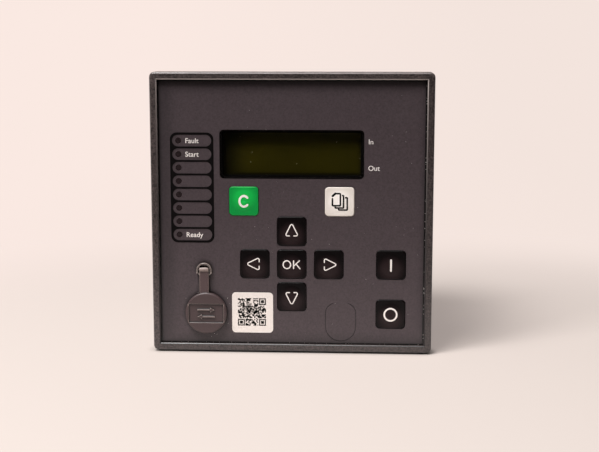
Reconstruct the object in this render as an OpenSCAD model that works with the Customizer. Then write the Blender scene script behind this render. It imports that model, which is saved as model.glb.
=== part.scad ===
// Panel-mounted protection relay with a square front, nine keys and a covered service port.
// Shapes are drawn in the front view: x to the right, y up, z towards the viewer,
// with the panel's front surface at z = 0. upright() then stands the part up, facing -Y.

/* [Bezel] */
// Width and height of the square bezel
bezel_size = 144; // [142:0.5:160]
// Depth of the bezel moulding in front of its gasket
bezel_depth = 10.8; // [9:0.1:14]
// Radius of the bezel's four corners
bezel_corner_r = 2.6; // [1.6:0.1:6]
// Rounding of the bezel's front edge
bezel_edge_r = 1.1; // [0.4:0.1:1.5]
// Width of the raised rim around the face
rim_w = 3.8; // [3.6:0.1:5]
// Chamfer on the rim's inner edge
rim_chamfer = 0.5; // [0.2:0.1:1]
// Depth of the face below the rim
face_recess = 2; // [1:0.1:3]
// Thickness of the moulded face plate
plate_t = 2.5; // [1.5:0.1:3]
// Thickness of the panel gasket
gasket_t = 1.2; // [0.8:0.1:2]
// How far the gasket stays inside the bezel's edge
gasket_inset = 0.6; // [0.3:0.1:1]

/* [Overlay] */
// Thickness of the front film
overlay_t = 0.5; // [0.3:0.05:0.8]
// Gap between the film and the rim
overlay_gap = 0.5; // [0.2:0.1:0.8]
// Corner radius of the film
overlay_r = 1.2; // [0.5:0.1:3]
// How far the die-cut flap reaches past the battery at each side
flap_side = 0.75; // [0.5:0.05:2]
// How far the die-cut flap reaches past the battery above and below
flap_end = 2.95; // [2:0.05:4]
// Radius of the die-cut flap's two upper corners
flap_r = 5.5; // [3:0.5:7]
// Length left uncut at the top of the flap
flap_hinge_w = 7.4; // [4:0.2:9]
// Width of the die-cut line
flap_cut = 0.3; // [0.2:0.05:0.5]

/* [Display] */
// Width of the display window
display_w = 73.6; // [68:0.2:78]
// Height of the display window
display_h = 25; // [22:0.1:27]
// Corner radius of the display window
display_r = 2.2; // [1:0.1:4]
// Height of the display above the middle of the front
display_y = 30.45; // [30:0.05:40]
// Ledge of the face plate behind the window's edge
display_ledge = 1; // [0.5:0.1:2]
// Margin of the display frame around the plate's opening
lcd_margin = 2.2; // [1:0.1:3]
// Width of the display frame's lip over the glass
lcd_lip = 3; // [3:0.1:5]
// Depth of the display frame
lcd_frame_t = 5.5; // [4:0.1:7]
// Wall of the pressed display frame
lcd_wall = 0.6; // [0.4:0.1:1]

/* [Indicators] */
// Number of indicators
led_count = 8; // [4:1:8]
// Diameter of an indicator
led_d = 3.1; // [2:0.1:4]
// Distance between indicators
led_pitch = 6.92; // [6.5:0.01:7]
// Height of the top indicator above the middle of the front
led_top_y = 37.3; // [36:0.1:44]
// Distance of an indicator from the middle of its label place
led_offset = 6.9; // [5:0.1:8]
// Middle of the label places, to the left of the middle
pill_x = -50.95; // [-52:0.05:-50]
// Width of a label place
pill_w = 20.05; // [18:0.05:21]
// Height of a label place
pill_h = 6.05; // [5:0.05:6.2]
// Black print around the label places
field_margin = 1.07; // [0.5:0.01:1.5]
// Corner radius of the black print
field_r = 3.4; // [1:0.1:4]
// Thickness of the black print
field_t = 0.1; // [0.05:0.01:0.2]

/* [Keys] */
// Width and height of a key
key_size = 15; // [12:0.1:15.2]
// Corner radius of a key
key_r = 2; // [1:0.1:4]
// Rounding of a key's front edge
key_edge_r = 0.5; // [0.2:0.1:0.8]
// Gap around a key
key_gap = 0.2; // [0.15:0.05:0.4]
// How far a key stands in front of the film
key_proud = 0.55; // [0.3:0.05:1]
// Height of the dome on a key
dome_h = 0.3; // [0.1:0.05:0.5]
// Diameter of the dome on a key
dome_d = 11.6; // [9:0.1:12]
// Travel of a key
key_travel = 0.6; // [0.3:0.1:1]
// Width of the flange that holds a key behind the plate
key_flange = 0.8; // [0.5:0.1:0.9]
// Thickness of that flange
flange_t = 0.8; // [0.6:0.1:1.2]
// Diameter of a key's stem
stem_d = 4; // [3:0.1:6]
// Space between the cursor keys sideways
pad_gap_x = 4.05; // [2.1:0.05:5]
// Space between the cursor keys up and down
pad_gap_y = 2.1; // [2:0.05:3]
// Height of the middle cursor key
pad_y = -26.15; // [-28:0.05:-26]
// Distance of the clear and page keys from the middle
side_key_x = 24.5; // [22:0.1:28]
// Height of the clear and page keys
side_key_y = 6.4; // [5:0.1:7]
// Middle of the breaker keys, from the rim's right inner edge
breaker_edge = 17.25; // [16:0.05:19]
// Height of the breaker close key
on_key_y = -26.1; // [-28:0.1:-22]
// Height of the breaker open key
off_key_y = -51.9; // [-53:0.1:-50]

/* [Service port] */
// Middle of the port, from the rim's left inner edge
port_left = 23.9; // [22:0.1:26]
// Middle of the port, above the rim's lower inner edge
port_up = 16.2; // [15:0.1:18]
// Middle of the port, sideways
port_x = -44.3; // [-46:0.1:-42]
// Middle of the port, up and down
port_y = -52; // [-53:0.1:-50]
// Diameter of the port's hole in the front
port_hole_d = 17; // [16.5:0.1:19]
// Diameter of the rubber cap
cap_d = 21.6; // [20:0.1:24]
// Thickness of the rubber cap
cap_t = 2.6; // [2:0.1:4]
// Rounding of the cap's front edge
cap_edge_r = 0.9; // [0.3:0.1:1.2]
// Gap between the cap and the film
cap_lift = 0.15; // [0.1:0.05:0.4]
// Width of the sunk field on the cap
sunk_w = 18; // [12:0.2:18]
// Height of the sunk field on the cap
sunk_h = 9.8; // [6:0.2:10]
// Depth of the sunk field on the cap
sunk_d = 0.6; // [0.3:0.1:1]
// Height of the raised sign in the sunk field
sign_h = 0.6; // [0.2:0.1:0.8]
// Clearance of the cap's skirt in the port's hole
skirt_fit = 0.7; // [0.6:0.05:1]
// Wall of the cap's skirt
skirt_wall = 1.5; // [1:0.1:2]
// Length of the cap's skirt
skirt_len = 3.6; // [2.5:0.1:4]
// Width of the strap
strap_w = 4.7; // [3:0.1:4.8]
// Thickness of the strap
strap_t = 1.2; // [0.8:0.1:1.6]
// Middle of the strap, sideways
hinge_x = -45.2; // [-46:0.1:-44]
// Height of the bar that the strap turns on
hinge_y = -29.1; // [-31:0.1:-28]
// Distance of that bar from the film
hinge_h = 1.5; // [1.5:0.1:2]
// Diameter of that bar
bar_d = 1.2; // [1:0.1:1.4]
// Running clearance of the strap's loop on the bar
bar_fit = 0.05; // [0.03:0.01:0.08]
// Wall of the strap's loop
loop_wall = 0.5; // [0.4:0.05:0.6]
// Inner radius of the anchor's arch
arch_r = 3.1; // [3.1:0.1:4]
// Width of the anchor's arch
arch_w = 0.85; // [0.6:0.05:1.2]
// Height of the anchor's arch
arch_h = 2.1; // [2.1:0.1:3]
// Length of the arch's two legs
arch_leg = 1.5; // [1:0.1:2.5]
// Diameter of the anchor's stem in the plate
anchor_stem_d = 4; // [3:0.1:5]
// Distance of the connector's mouth behind the plate
mouth_setback = 2; // [1.5:0.1:4]
// Width of the connector
port_w = 12; // [11.5:0.1:12.4]
// Height of the connector
port_h = 10.9; // [10.5:0.1:11.5]
// Length of the connector
port_len = 14; // [13:0.5:18]
// Width of the connector's cavity
cavity_w = 8.5; // [8:0.1:9]
// Height of the connector's cavity
cavity_h = 7.8; // [7.5:0.1:8.5]
// Depth of the connector's cavity
cavity_d = 9; // [8:0.1:12]

/* [Label] */
// Width and height of the white label
label_size = 21.3; // [15:0.1:22]
// Corner radius of the white label
label_r = 2; // [0.5:0.1:4]
// Thickness of the white label
label_t = 0.12; // [0.1:0.01:0.2]
// Middle of the white label, sideways
label_x = -20.35; // [-21:0.05:-20]
// Middle of the white label, up and down
label_y = -51.85; // [-54:0.05:-51]

/* [Case] */
// How far the bezel reaches past the case
flange_overhang = 3.5; // [3:0.1:5]
// Depth of the case behind the panel
case_depth = 88; // [82:1:130]
// Wall of the case
case_wall = 2.5; // [1.8:0.1:3]
// Radius of the case's long edges
case_r = 3; // [1:0.5:5]
// Thickness of the rear cover
cover_t = 3; // [2.5:0.1:5]
// Width of a vent slot
vent_w = 2; // [1.5:0.1:3]
// Length of a vent slot
vent_len = 26; // [15:1:30]
// Number of vent slots on each of the top and bottom
vent_count = 9; // [5:1:13]
// Distance between vent slots
vent_pitch = 7; // [5:0.5:8]
// Height of a panel clamp's pocket
pocket_h = 6; // [4:0.5:10]
// Length of a panel clamp's pocket
pocket_len = 14; // [10:0.5:20]
// Depth of a panel clamp's pocket in the case wall
pocket_d = 1.3; // [0.8:0.1:1.4]
// Distance of the pockets from the middle height
pocket_y = 40; // [30:1:45]
// Distance of the pockets behind the panel
pocket_z = 20; // [12:1:30]
// Diameter of the case screws
case_screw_d = 3; // [2.5:0.1:3.5]
// Head diameter of the case screws
case_head_d = 5.6; // [5:0.1:6]
// Head height of the case screws
case_head_h = 1.6; // [1:0.1:2]
// Outer radius of the bezel's screw bosses
boss_r = 3; // [2.5:0.1:3.2]
// Length of the bezel's screw bosses
boss_len = 8; // [7:0.5:10]
// Diameter of the earth stud
earth_d = 4; // [3:0.5:6]
// Free length of the earth stud
earth_len = 12; // [8:0.5:20]
// Earth stud, sideways
earth_x = 46; // [40:1:48]
// Earth stud, up and down
earth_y = -32; // [-36:1:-28]
// Diameter of the earth stud's shoulder
shoulder_d = 8; // [7:0.5:10]
// Thickness of the earth stud's shoulder
shoulder_t = 2; // [1:0.1:3]

/* [Boards] */
// Thickness of the boards
pcb_t = 1.6; // [1:0.1:2]
// Gap between the boards and the case wall
board_gap = 1; // [0.5:0.1:1.2]
// Height of the display's pin strip
strip_h = 3.2; // [2.5:0.1:5]
// Width and height of a key switch
switch_size = 6; // [4:0.5:7]
// Height of a key switch
switch_h = 3.5; // [2.5:0.1:4]
// Diameter of the board screws
board_screw_d = 2.5; // [2:0.1:3]
// Head diameter of the board screws
board_head_d = 4.4; // [4:0.1:4.6]
// Head height of the board screws
board_head_h = 1.6; // [1:0.1:2]
// Length of the board screws in their posts
board_screw_in = 6; // [4:0.5:6.5]
// Side posts of the display board, from the case's inner wall
post_edge = 3.7; // [3.5:0.1:5]
// Lower posts of the display board, above the case's inner wall
post_low = 27; // [24:0.5:30]
// Distance of the upper right post above the lower one
post_rise = 59; // [50:1:64]
// Upper left post of the display board, from the case's left inner wall
post_top_x = 14; // [12:0.5:18]
// Upper left post of the display board, below the case's upper inner wall
post_top_y = 9; // [7:0.5:11]
// Posts of the rear board, from the case's inner walls
io_post_edge = 12; // [11:0.5:14]
// Height of the rear board's posts
io_post_h = 8; // [8:0.5:12]
// Height of the processor board, above the middle of the front
card_y = -15.5; // [-17:0.5:-14]
// Width of a card edge socket
link_w = 60; // [40:1:80]
// Height of a card edge socket
link_h = 7; // [5:0.5:8]
// Depth of a card edge socket
link_d = 7; // [6:0.5:9]
// How far a card goes into its socket
link_in = 4; // [3:0.5:5]
// Depth of the card guides on the case wall
guide_d = 3; // [2:0.5:5]
// Thickness of a card guide
guide_t = 1.4; // [1:0.1:2]

/* [Battery] */
// Diameter of the battery
battery_d = 14.5; // [12:0.1:14.6]
// Length of the battery
battery_len = 25; // [20:0.5:35]
// Battery, left of halfway between the cursor keys and the breaker keys
battery_shift = 0.225; // [0:0.025:1]
// Battery, up and down
battery_y = -55; // [-56:0.5:-54]
// Clearance around the battery
battery_fit = 0.3; // [0.2:0.05:0.5]
// Wall of the battery holder
holder_wall = 1.2; // [1:0.1:1.5]

/* [Terminals] */
// How far the terminal blocks stand out of the rear cover
block_proud = 9; // [6:0.5:12]
// Clearance of the terminal blocks in the rear cover
block_fit = 0.3; // [0.2:0.05:0.5]
// Pitch of the small terminals
small_pitch = 5.08; // [5:0.01:5.2]
// Number of small terminals in the long block
io_poles = 14; // [8:1:16]
// Height of the long block
io_block_h = 16; // [14:0.5:18]
// Height of the long block's middle
io_block_y = 40; // [38:0.5:42]
// Height of the small blocks
small_block_h = 14; // [13:0.5:16]
// Height of the small blocks' middle
small_block_y = -31; // [-34:0.5:-28]
// Distance between the sensor blocks
sensor_pitch = 18; // [16:0.5:19]
// Sensor block nearest the middle, sideways
sensor_x = -2; // [-4:0.5:0]
// Communication block, sideways
comm_x = 20; // [18:0.5:23]
// Pitch of the current terminals
current_pitch = 9.5; // [9:0.1:11]
// Number of current terminals
current_poles = 8; // [6:2:10]
// Height of the current block
current_block_h = 24; // [22:0.5:26]
// Height of the current block's middle
current_block_y = 6; // [4:0.5:8]

/* [Power parts] */
// Width of a current transformer
ct_w = 20; // [15:0.5:22]
// Height of a current transformer
ct_h = 22; // [16:0.5:26]
// Depth of a current transformer
ct_d = 22; // [16:0.5:26]
// Distance between current transformers
ct_pitch = 24; // [23:0.5:28]
// Width of an output relay
relay_w = 20; // [15:0.5:24]
// Height of an output relay
relay_h = 12; // [10:0.5:15]
// Depth of an output relay
relay_d = 16; // [12:0.5:20]
// Distance between output relays
relay_pitch = 26; // [25:0.5:30]
// Diameter of a storage capacitor
capacitor_d = 18; // [12:0.5:20]
// Length of a storage capacitor
capacitor_len = 32; // [20:1:40]
// Distance between the storage capacitors
capacitor_pitch = 24; // [21:0.5:26]
// Storage capacitor on the left, sideways
capacitor_x = -32; // [-36:0.5:-28]
// Width of the supply module
supply_w = 26; // [20:0.5:30]
// Height of the supply module
supply_h = 22; // [16:0.5:24]
// Depth of the supply module
supply_d = 18; // [12:0.5:24]
// Supply module, sideways
supply_x = 30; // [28:0.5:34]
// Height of the capacitors and the supply module
store_y = -38; // [-40:0.5:-36]

/* [Hidden] */
$fn = 64;
case_fit = 0.2;
thread_fit = 0.05;
screw_fit = 0.2;
seat_fit = 0.1;
lcd_gap = 0.2;
key_rest_gap = 0.1;
stem_gap = 0.2;
head_fit = 0.15;
lcd_lip_end = 2.8;
lcd_board_side = 2;
lcd_board_end = 4;
lens_shoulder = 0.6;
lens_shoulder_t = 0.8;
pill_flat = 0.02;
flap_drop = 1.4;
arch_drop = 0.4;
pillar_wall = 0.4;
post_wall = 1;
io_post_wall = 1.4;
holder_rim = 0.5;
tab_w = 2;
tab_h = 1.5;
tab_t = 0.8;
link_end = 2;
stud_collar = 0.6;
stud_nut_t = 1.5;

z_front = gasket_t + bezel_depth;
z_face = z_front - face_recess;
z_plate = z_face - overlay_t;
z_back = z_plate - plate_t;
z_lcd = z_back - lcd_gap;
z_lcd_board = z_lcd - lcd_frame_t;
z_board = z_lcd_board - pcb_t - strip_h;
z_board_back = z_board - pcb_t;
z_boss = z_back - boss_len;
z_cover = -case_depth;
z_rear = z_cover - cover_t;
z_io = z_cover + io_post_h;
z_io_front = z_io + pcb_t;
z_block = z_rear - block_proud;
z_flange = z_back - key_rest_gap - flange_t;
z_stem = z_board + switch_h + key_travel + stem_gap;
z_hinge = z_face + hinge_h;
z_cap = z_face + cap_lift;
z_mouth = z_back - mouth_setback;
z_cell = z_back - battery_fit - battery_len;

case_w = bezel_size - 2 * flange_overhang;
case_inner = case_w - 2 * case_wall;
pocket_size = bezel_size - 2 * rim_w;
overlay_size = pocket_size - 2 * overlay_gap;
face_shift = [port_left - pocket_size / 2 - port_x, port_up - pocket_size / 2 - port_y, 0];
boss_gap = 0.5;
pillar_at = case_inner / 2 - boss_r - boss_gap;
pillar_r = boss_r + pillar_wall;
board_size = case_inner - 2 * board_gap;
board_notch = board_size / 2 - pillar_at + pillar_r + board_gap;
pad_pitch_x = key_size + pad_gap_x;
pad_pitch_y = key_size + pad_gap_y;
breaker_key_x = pocket_size / 2 - breaker_edge - face_shift[0];
battery_x = breaker_key_x / 2 - battery_shift;
flap_w = battery_d + 2 * flap_side;
flap_h = battery_d + 2 * flap_end;
key_window = key_size + 2 * key_gap;
window_r = key_r + key_gap;
opening_w = display_w - 2 * display_ledge;
opening_h = display_h - 2 * display_ledge;
lcd_w = opening_w + 2 * lcd_margin;
lcd_h = opening_h + 2 * lcd_margin;
lcd_board_w = lcd_w + 2 * lcd_board_side;
lcd_board_h = lcd_h + 2 * lcd_board_end;
strip_w = 40;
strip_d = 2.5;
field_h = (led_count - 1) * led_pitch + pill_h + 2 * field_margin;
field_y = led_top_y - (led_count - 1) * led_pitch / 2;
led_x = pill_x - led_offset;
shoulder_r = led_d / 2 + lens_shoulder;
loop_d = bar_d + 2 * bar_fit + 2 * loop_wall;
skirt_d = port_hole_d - 2 * skirt_fit;
arch_y = hinge_y - arch_drop;
base_r = arch_r + arch_w;
holder_r = battery_d / 2 + battery_fit + holder_wall;
post_r = board_screw_d / 2 + post_wall;
post_x = case_inner / 2 - post_edge;
post_y = post_low - case_inner / 2;
post_spots = [
    [post_top_x - case_inner / 2, case_inner / 2 - post_top_y],
    [post_x, post_y + post_rise],
    [-post_x, post_y],
    [post_x, post_y]
];
io_post_r = board_screw_d / 2 + io_post_wall;
io_post_at = case_inner / 2 - io_post_edge;
io_post_spots = [for (sx = [-1, 1], sy = [-1, 1]) [sx * io_post_at, sy * io_post_at]];
corners = [for (sx = [-1, 1], sy = [-1, 1]) [sx * pillar_at, sy * pillar_at]];
block_end = 2;
io_block_w = io_poles * small_pitch + 2 * block_end;
sensor_poles = 2;
comm_poles = 3;
sensor_block_w = sensor_poles * small_pitch + block_end;
comm_block_w = comm_poles * small_pitch + block_end;
current_block_w = current_poles * current_pitch + 2 * block_end;
sensor_spots = [for (i = [0:2]) sensor_x - i * sensor_pitch];
well_r = 2;
well_d = 4;
entry_w = 3.6;
entry_h = 3.4;
entry_d = 7;
row_gap = 3;
current_well_r = 3.1;
current_well_d = 5;
current_entry_w = 6.4;
current_entry_h = 3.8;
current_entry_d = 9;
current_row_gap = 5;

// Name and place of each key
key_names = ["key_clear", "key_page", "key_up", "key_left", "key_ok", "key_right", "key_down",
    "key_on", "key_off"];
key_spots = [
    [-side_key_x, side_key_y],
    [side_key_x, side_key_y],
    [0, pad_y + pad_pitch_y],
    [-pad_pitch_x, pad_y],
    [0, pad_y],
    [pad_pitch_x, pad_y],
    [0, pad_y - pad_pitch_y],
    [breaker_key_x, on_key_y],
    [breaker_key_x, off_key_y]
];
key_colours = ["#10a045", "#e4dad2", "#1b1718", "#1b1718", "#1b1718", "#1b1718", "#1b1718",
    "#1b1718", "#1b1718"];

// Stands a shape drawn in the front view up, facing -Y
module upright() {
    rotate([90, 0, 0]) children();
}

// Puts a shape in the front's layout, which keeps its distance from the rim
module on_face() {
    translate(face_shift) children();
}

// Flat rectangle with round corners
module rounded_square(w, h, r) {
    square([w - 2 * r, h], center = true);
    square([w, h - 2 * r], center = true);
    for (sx = [-1, 1], sy = [-1, 1])
        translate([sx * (w / 2 - r), sy * (h / 2 - r)]) circle(r);
}

// Plate with round corners, its back at z
module plate_at(w, h, r, z, t) {
    translate([0, 0, z]) linear_extrude(t) rounded_square(w, h, r);
}

// Section of a slab's edge, rounded at its upper outer corner
module edge_section(w, t, edge_r) {
    square([w, t - edge_r]);
    square([w - edge_r, t]);
    translate([w - edge_r, t - edge_r]) circle(edge_r);
}

// Slab with round corners and a rounded front edge, its back at z = 0
module soft_slab(w, h, r, t, edge_r) {
    straight_w = w - 2 * r;
    straight_h = h - 2 * r;
    translate([-straight_w / 2, -straight_h / 2, 0]) cube([straight_w, straight_h, t]);
    for (side = [0, 1]) rotate(180 * side) {
        translate([straight_w / 2, straight_h / 2, 0])
            rotate([90, 0, 0]) linear_extrude(straight_h) edge_section(r, t, edge_r);
        translate([-straight_w / 2, straight_h / 2, 0])
            rotate([90, 0, 90]) linear_extrude(straight_w) edge_section(r, t, edge_r);
        translate([straight_w / 2, straight_h / 2, 0])
            rotate_extrude(angle = 90) edge_section(r, t, edge_r);
        translate([-straight_w / 2, straight_h / 2, 0])
            rotate(90) rotate_extrude(angle = 90) edge_section(r, t, edge_r);
    }
}

// Square cut whose sides slope outwards towards the viewer
module sloped_cut(size, depth) {
    half_diagonal = size / sqrt(2);
    rotate(45) cylinder(h = depth, r1 = half_diagonal, r2 = half_diagonal + depth * sqrt(2), $fn = 4);
}

// Round bar along z between two heights
module bar_between(z0, z1, r) {
    translate([0, 0, z0]) cylinder(h = z1 - z0, r = r);
}

// Box centred in x and y, between two heights
module box_between(w, h, z0, z1) {
    translate([-w / 2, -h / 2, z0]) cube([w, h, z1 - z0]);
}

// Pan head screw along z: the head's seat at z = 0, the shank towards +z
module pan_screw(d, len, head_d, head_h) {
    bar_between(0, len, d / 2);
    difference() {
        bar_between(-head_h, 0, head_d / 2);
        slot_w = head_d / 6;
        box_between(head_d, slot_w, -head_h - 1, -head_h / 2);
    }
}

// Board outline, cut out at its corners for the case pillars
module board_outline() {
    square([board_size - 2 * board_notch, board_size], center = true);
    square([board_size, board_size - 2 * board_notch], center = true);
}

// Outline of the die-cut flap, with round upper corners and a round lower end
module flap_outline(inset) {
    w = flap_w - 2 * inset;
    h = flap_h - 2 * inset;
    low_middle = w / 2 - h / 2;
    translate([0, low_middle]) circle(w / 2);
    intersection() {
        rounded_square(w, h, flap_r - inset);
        translate([-w, low_middle]) square([2 * w, h]);
    }
}

// Die-cut line around the flap, left open at the top where the flap bends
module flap_line() {
    difference() {
        flap_outline(0);
        flap_outline(flap_cut);
        translate([0, flap_h / 2]) square([flap_hinge_w, flap_r], center = true);
    }
}

// Square moulded frame: rim, recessed face plate, screw bosses and board posts
module front_bezel() {
    color("#4a4142") {
        difference() {
            translate([0, 0, gasket_t])
                soft_slab(bezel_size, bezel_size, bezel_corner_r, bezel_depth, bezel_edge_r);
            box_between(pocket_size, pocket_size, z_plate, z_front + 1);
            translate([0, 0, z_front - rim_chamfer]) sloped_cut(pocket_size, rim_chamfer + 0.1);
            translate([0, 0, gasket_t - 1]) linear_extrude(z_back - gasket_t + 1)
                rounded_square(case_w + 2 * case_fit, case_w + 2 * case_fit, case_r);
            on_face() {
                front_openings(z_back - 1, plate_t + 2);
                translate([0, display_y, z_back - 1]) linear_extrude(plate_t + 2)
                    rounded_square(opening_w, opening_h, display_r - display_ledge / 2);
                translate([battery_x, battery_y, 0])
                    bar_between(z_back - 1, z_plate + 1, battery_d / 2 + battery_fit);
                translate([hinge_x, arch_y, 0])
                    bar_between(z_back - 1, z_plate + 1, anchor_stem_d / 2 + thread_fit);
            }
        }
        for (spot = corners) translate(spot) difference() {
            bar_between(z_boss, z_back, boss_r);
            bar_between(z_boss - 1, z_back - 1, case_screw_d / 2 + thread_fit);
        }
        for (spot = post_spots) translate(spot) difference() {
            bar_between(z_board, z_back, post_r);
            bar_between(z_board - 1, z_back - 1, board_screw_d / 2 + thread_fit);
        }
    }
}

// Cuts that go through both the film and the face plate: keys, indicators and port
module front_openings(z, t) {
    for (spot = key_spots) translate(spot)
        plate_at(key_window, key_window, window_r, z, t);
    for (i = [0:led_count - 1]) translate([led_x, led_top_y - i * led_pitch, 0])
        bar_between(z, z + t, led_d / 2 + thread_fit);
    translate([port_x, port_y, 0]) bar_between(z, z + t, port_hole_d / 2);
}

// Rubber ring between the bezel and the panel
module panel_gasket() {
    outer = bezel_size - 2 * gasket_inset;
    inner = case_w + 2 * case_fit;
    color("#262223") linear_extrude(gasket_t) difference() {
        rounded_square(outer, outer, bezel_corner_r);
        rounded_square(inner, inner, case_r);
    }
}

// Printed front film with its die-cut flap
module front_overlay() {
    color("#4b4244") difference() {
        plate_at(overlay_size, overlay_size, overlay_r, z_plate, overlay_t);
        on_face() {
            front_openings(z_plate - 1, overlay_t + 2);
            translate([0, display_y, 0])
                plate_at(display_w, display_h, display_r, z_plate - 1, overlay_t + 2);
            translate([hinge_x, arch_y, 0]) bar_between(z_plate - 1, z_face + 1, base_r + seat_fit);
            translate([battery_x, battery_y - flap_drop, z_plate - 1]) linear_extrude(overlay_t + 2)
                flap_line();
        }
    }
}

// Black print with the label places left open
module led_label_field() {
    color("#120f10") translate([pill_x, 0, z_face]) linear_extrude(field_t) difference() {
        translate([0, field_y]) rounded_square(pill_w + 2 * field_margin, field_h, field_r);
        for (i = [0:led_count - 1]) translate([0, led_top_y - i * led_pitch])
            rounded_square(pill_w, pill_h, pill_h / 2 - pill_flat);
    }
}

// Clear window set in the film
module display_window() {
    w = display_w - 2 * seat_fit;
    h = display_h - 2 * seat_fit;
    color("#1c1a10") translate([0, display_y, 0])
        plate_at(w, h, display_r - seat_fit, z_plate, overlay_t);
}

// Light guide of one indicator, with a shoulder behind the plate
module led_lens(i) {
    chip_room = 1;
    color("#2c2426") translate([led_x, led_top_y - (i - 1) * led_pitch, 0]) {
        bar_between(z_board + chip_room, z_face, led_d / 2);
        bar_between(z_back - lens_shoulder_t, z_back, shoulder_r);
    }
}

// One key: domed cap, flange behind the plate and stem to its switch
module key(spot, colour) {
    cap_top = z_face + key_proud - dome_h;
    dome_r = (dome_d * dome_d / 4 + dome_h * dome_h) / (2 * dome_h);
    flange = key_size + 2 * key_flange;
    color(colour) translate(spot) {
        translate([0, 0, z_flange])
            soft_slab(key_size, key_size, key_r, cap_top - z_flange, key_edge_r);
        intersection() {
            translate([0, 0, cap_top + dome_h - dome_r]) sphere(dome_r, $fn = 200);
            bar_between(cap_top - 0.2, cap_top + 1, dome_d / 2);
        }
        plate_at(flange, flange, key_r + key_flange, z_flange, flange_t);
        bar_between(z_stem, z_flange + 0.2, stem_d / 2);
    }
}

// Rubber cap with its skirt, sunk field, raised sign and looped strap
module port_cover() {
    z_top = z_cap + cap_t;
    strap_end = port_y + cap_d / 2 - 2;
    color("#56494a") difference() {
        union() {
            translate([port_x, port_y, z_cap]) difference() {
                rotate_extrude() edge_section(cap_d / 2, cap_t, cap_edge_r);
                box_between(sunk_w, sunk_h, cap_t - sunk_d, cap_t + 1);
            }
            translate([port_x, port_y, z_top - sunk_d]) linear_extrude(sign_h) cap_sign();
            translate([port_x, port_y, 0]) difference() {
                bar_between(z_cap - skirt_len, z_cap, skirt_d / 2);
                bar_between(z_cap - skirt_len - 1, z_cap, skirt_d / 2 - skirt_wall);
            }
            translate([hinge_x - strap_w / 2, strap_end, z_hinge - strap_t / 2])
                cube([strap_w, hinge_y - strap_end, strap_t]);
            across_strap(strap_w, loop_d / 2);
        }
        across_strap(strap_w + 2, bar_d / 2 + bar_fit);
    }
}

// Round bar across the strap, along the line that it turns on
module across_strap(len, r) {
    translate([hinge_x, hinge_y, z_hinge]) rotate([0, 90, 0])
        cylinder(h = len, r = r, center = true);
}

// Two opposed arrows, for data in and out
module cap_sign() {
    shaft_l = 9;
    shaft_h = 0.8;
    head_l = 2.4;
    head_h = 2.6;
    row = 1.8;
    for (side = [0, 1]) rotate(180 * side) translate([0, row]) {
        translate([-shaft_l / 2, -shaft_h / 2]) square([shaft_l - head_l / 2, shaft_h]);
        translate([shaft_l / 2 - head_l, 0])
            polygon([[0, -head_h / 2], [head_l, 0], [0, head_h / 2]]);
    }
}

// Snap-in arch with the bar that the strap turns on
module port_anchor() {
    barb_t = 0.8;
    color("#453b3c") {
        translate([hinge_x, arch_y, 0]) {
            translate([0, 0, z_face]) linear_extrude(arch_h) arch_outline();
            bar_between(z_plate, z_face, base_r);
            bar_between(z_back, z_plate, anchor_stem_d / 2);
            bar_between(z_back - barb_t, z_back, anchor_stem_d / 2 + barb_t);
        }
        across_strap(2 * arch_r + arch_w, bar_d / 2);
    }
}

// Half ring with two short legs
module arch_outline() {
    difference() {
        circle(base_r);
        circle(arch_r);
        translate([-base_r - 1, -base_r - 1]) square([2 * base_r + 2, base_r + 1]);
    }
    for (sx = [-1, 1]) translate([sx * (arch_r + arch_w / 2), -arch_leg / 2])
        square([arch_w, arch_leg], center = true);
}

// Metal shell of the service port
module port_shell() {
    color("#b9b6b0") translate([port_x, port_y, 0]) {
        difference() {
            box_between(port_w, port_h, z_mouth - port_len, z_mouth);
            box_between(cavity_w, cavity_h, z_mouth - cavity_d, z_mouth + 1);
        }
        difference() {
            box_between(port_w + 2 * tab_w, port_h + 2 * tab_h, z_board, z_board + tab_t);
            box_between(port_w, port_h, z_board - 1, z_board + tab_t + 1);
        }
    }
}

// Contact carrier in the service port
module port_insert() {
    carrier_t = 2;
    tongue_side = 1.45;
    tongue_gap = 2.3;
    tongue_w = cavity_w - 2 * tongue_side;
    tongue_h = cavity_h - 2 * tongue_gap;
    tongue_back = 1;
    color("#e8e4da") translate([port_x, port_y, 0]) {
        box_between(cavity_w - 2 * thread_fit, cavity_h - 2 * thread_fit,
            z_mouth - cavity_d, z_mouth - cavity_d + carrier_t);
        box_between(tongue_w, tongue_h, z_mouth - cavity_d, z_mouth - tongue_back);
    }
}

// White label stuck on the film
module code_label() {
    color("#ece2db") translate([label_x, label_y, 0])
        plate_at(label_size, label_size, label_r, z_face, label_t);
}

// Pressed frame that holds the display glass on its board
module lcd_frame() {
    color("#191617") translate([0, display_y, 0]) difference() {
        box_between(lcd_w, lcd_h, z_lcd_board, z_lcd);
        box_between(lcd_w - 2 * lcd_wall, lcd_h - 2 * lcd_wall, z_lcd_board - 1, z_lcd - lcd_wall);
        box_between(lcd_w - 2 * lcd_lip, lcd_h - 2 * lcd_lip_end, z_lcd - lcd_wall - 1, z_lcd + 1);
    }
}

// Display glass with its light guide
module lcd_glass() {
    w = lcd_w - 2 * lcd_wall - 2 * seat_fit;
    h = lcd_h - 2 * lcd_wall - 2 * seat_fit;
    color("#2b2605") translate([0, display_y, 0]) box_between(w, h, z_lcd_board, z_lcd - lcd_wall);
}

// Display's own board with the pin strip that joins it to the display board
module lcd_board() {
    color("#1f5a34") translate([0, display_y, 0]) {
        box_between(lcd_board_w, lcd_board_h, z_lcd_board - pcb_t, z_lcd_board);
        translate([0, lcd_board_h / 2 - strip_d, 0])
            box_between(strip_w, strip_d, z_board, z_lcd_board - pcb_t);
    }
}

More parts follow.
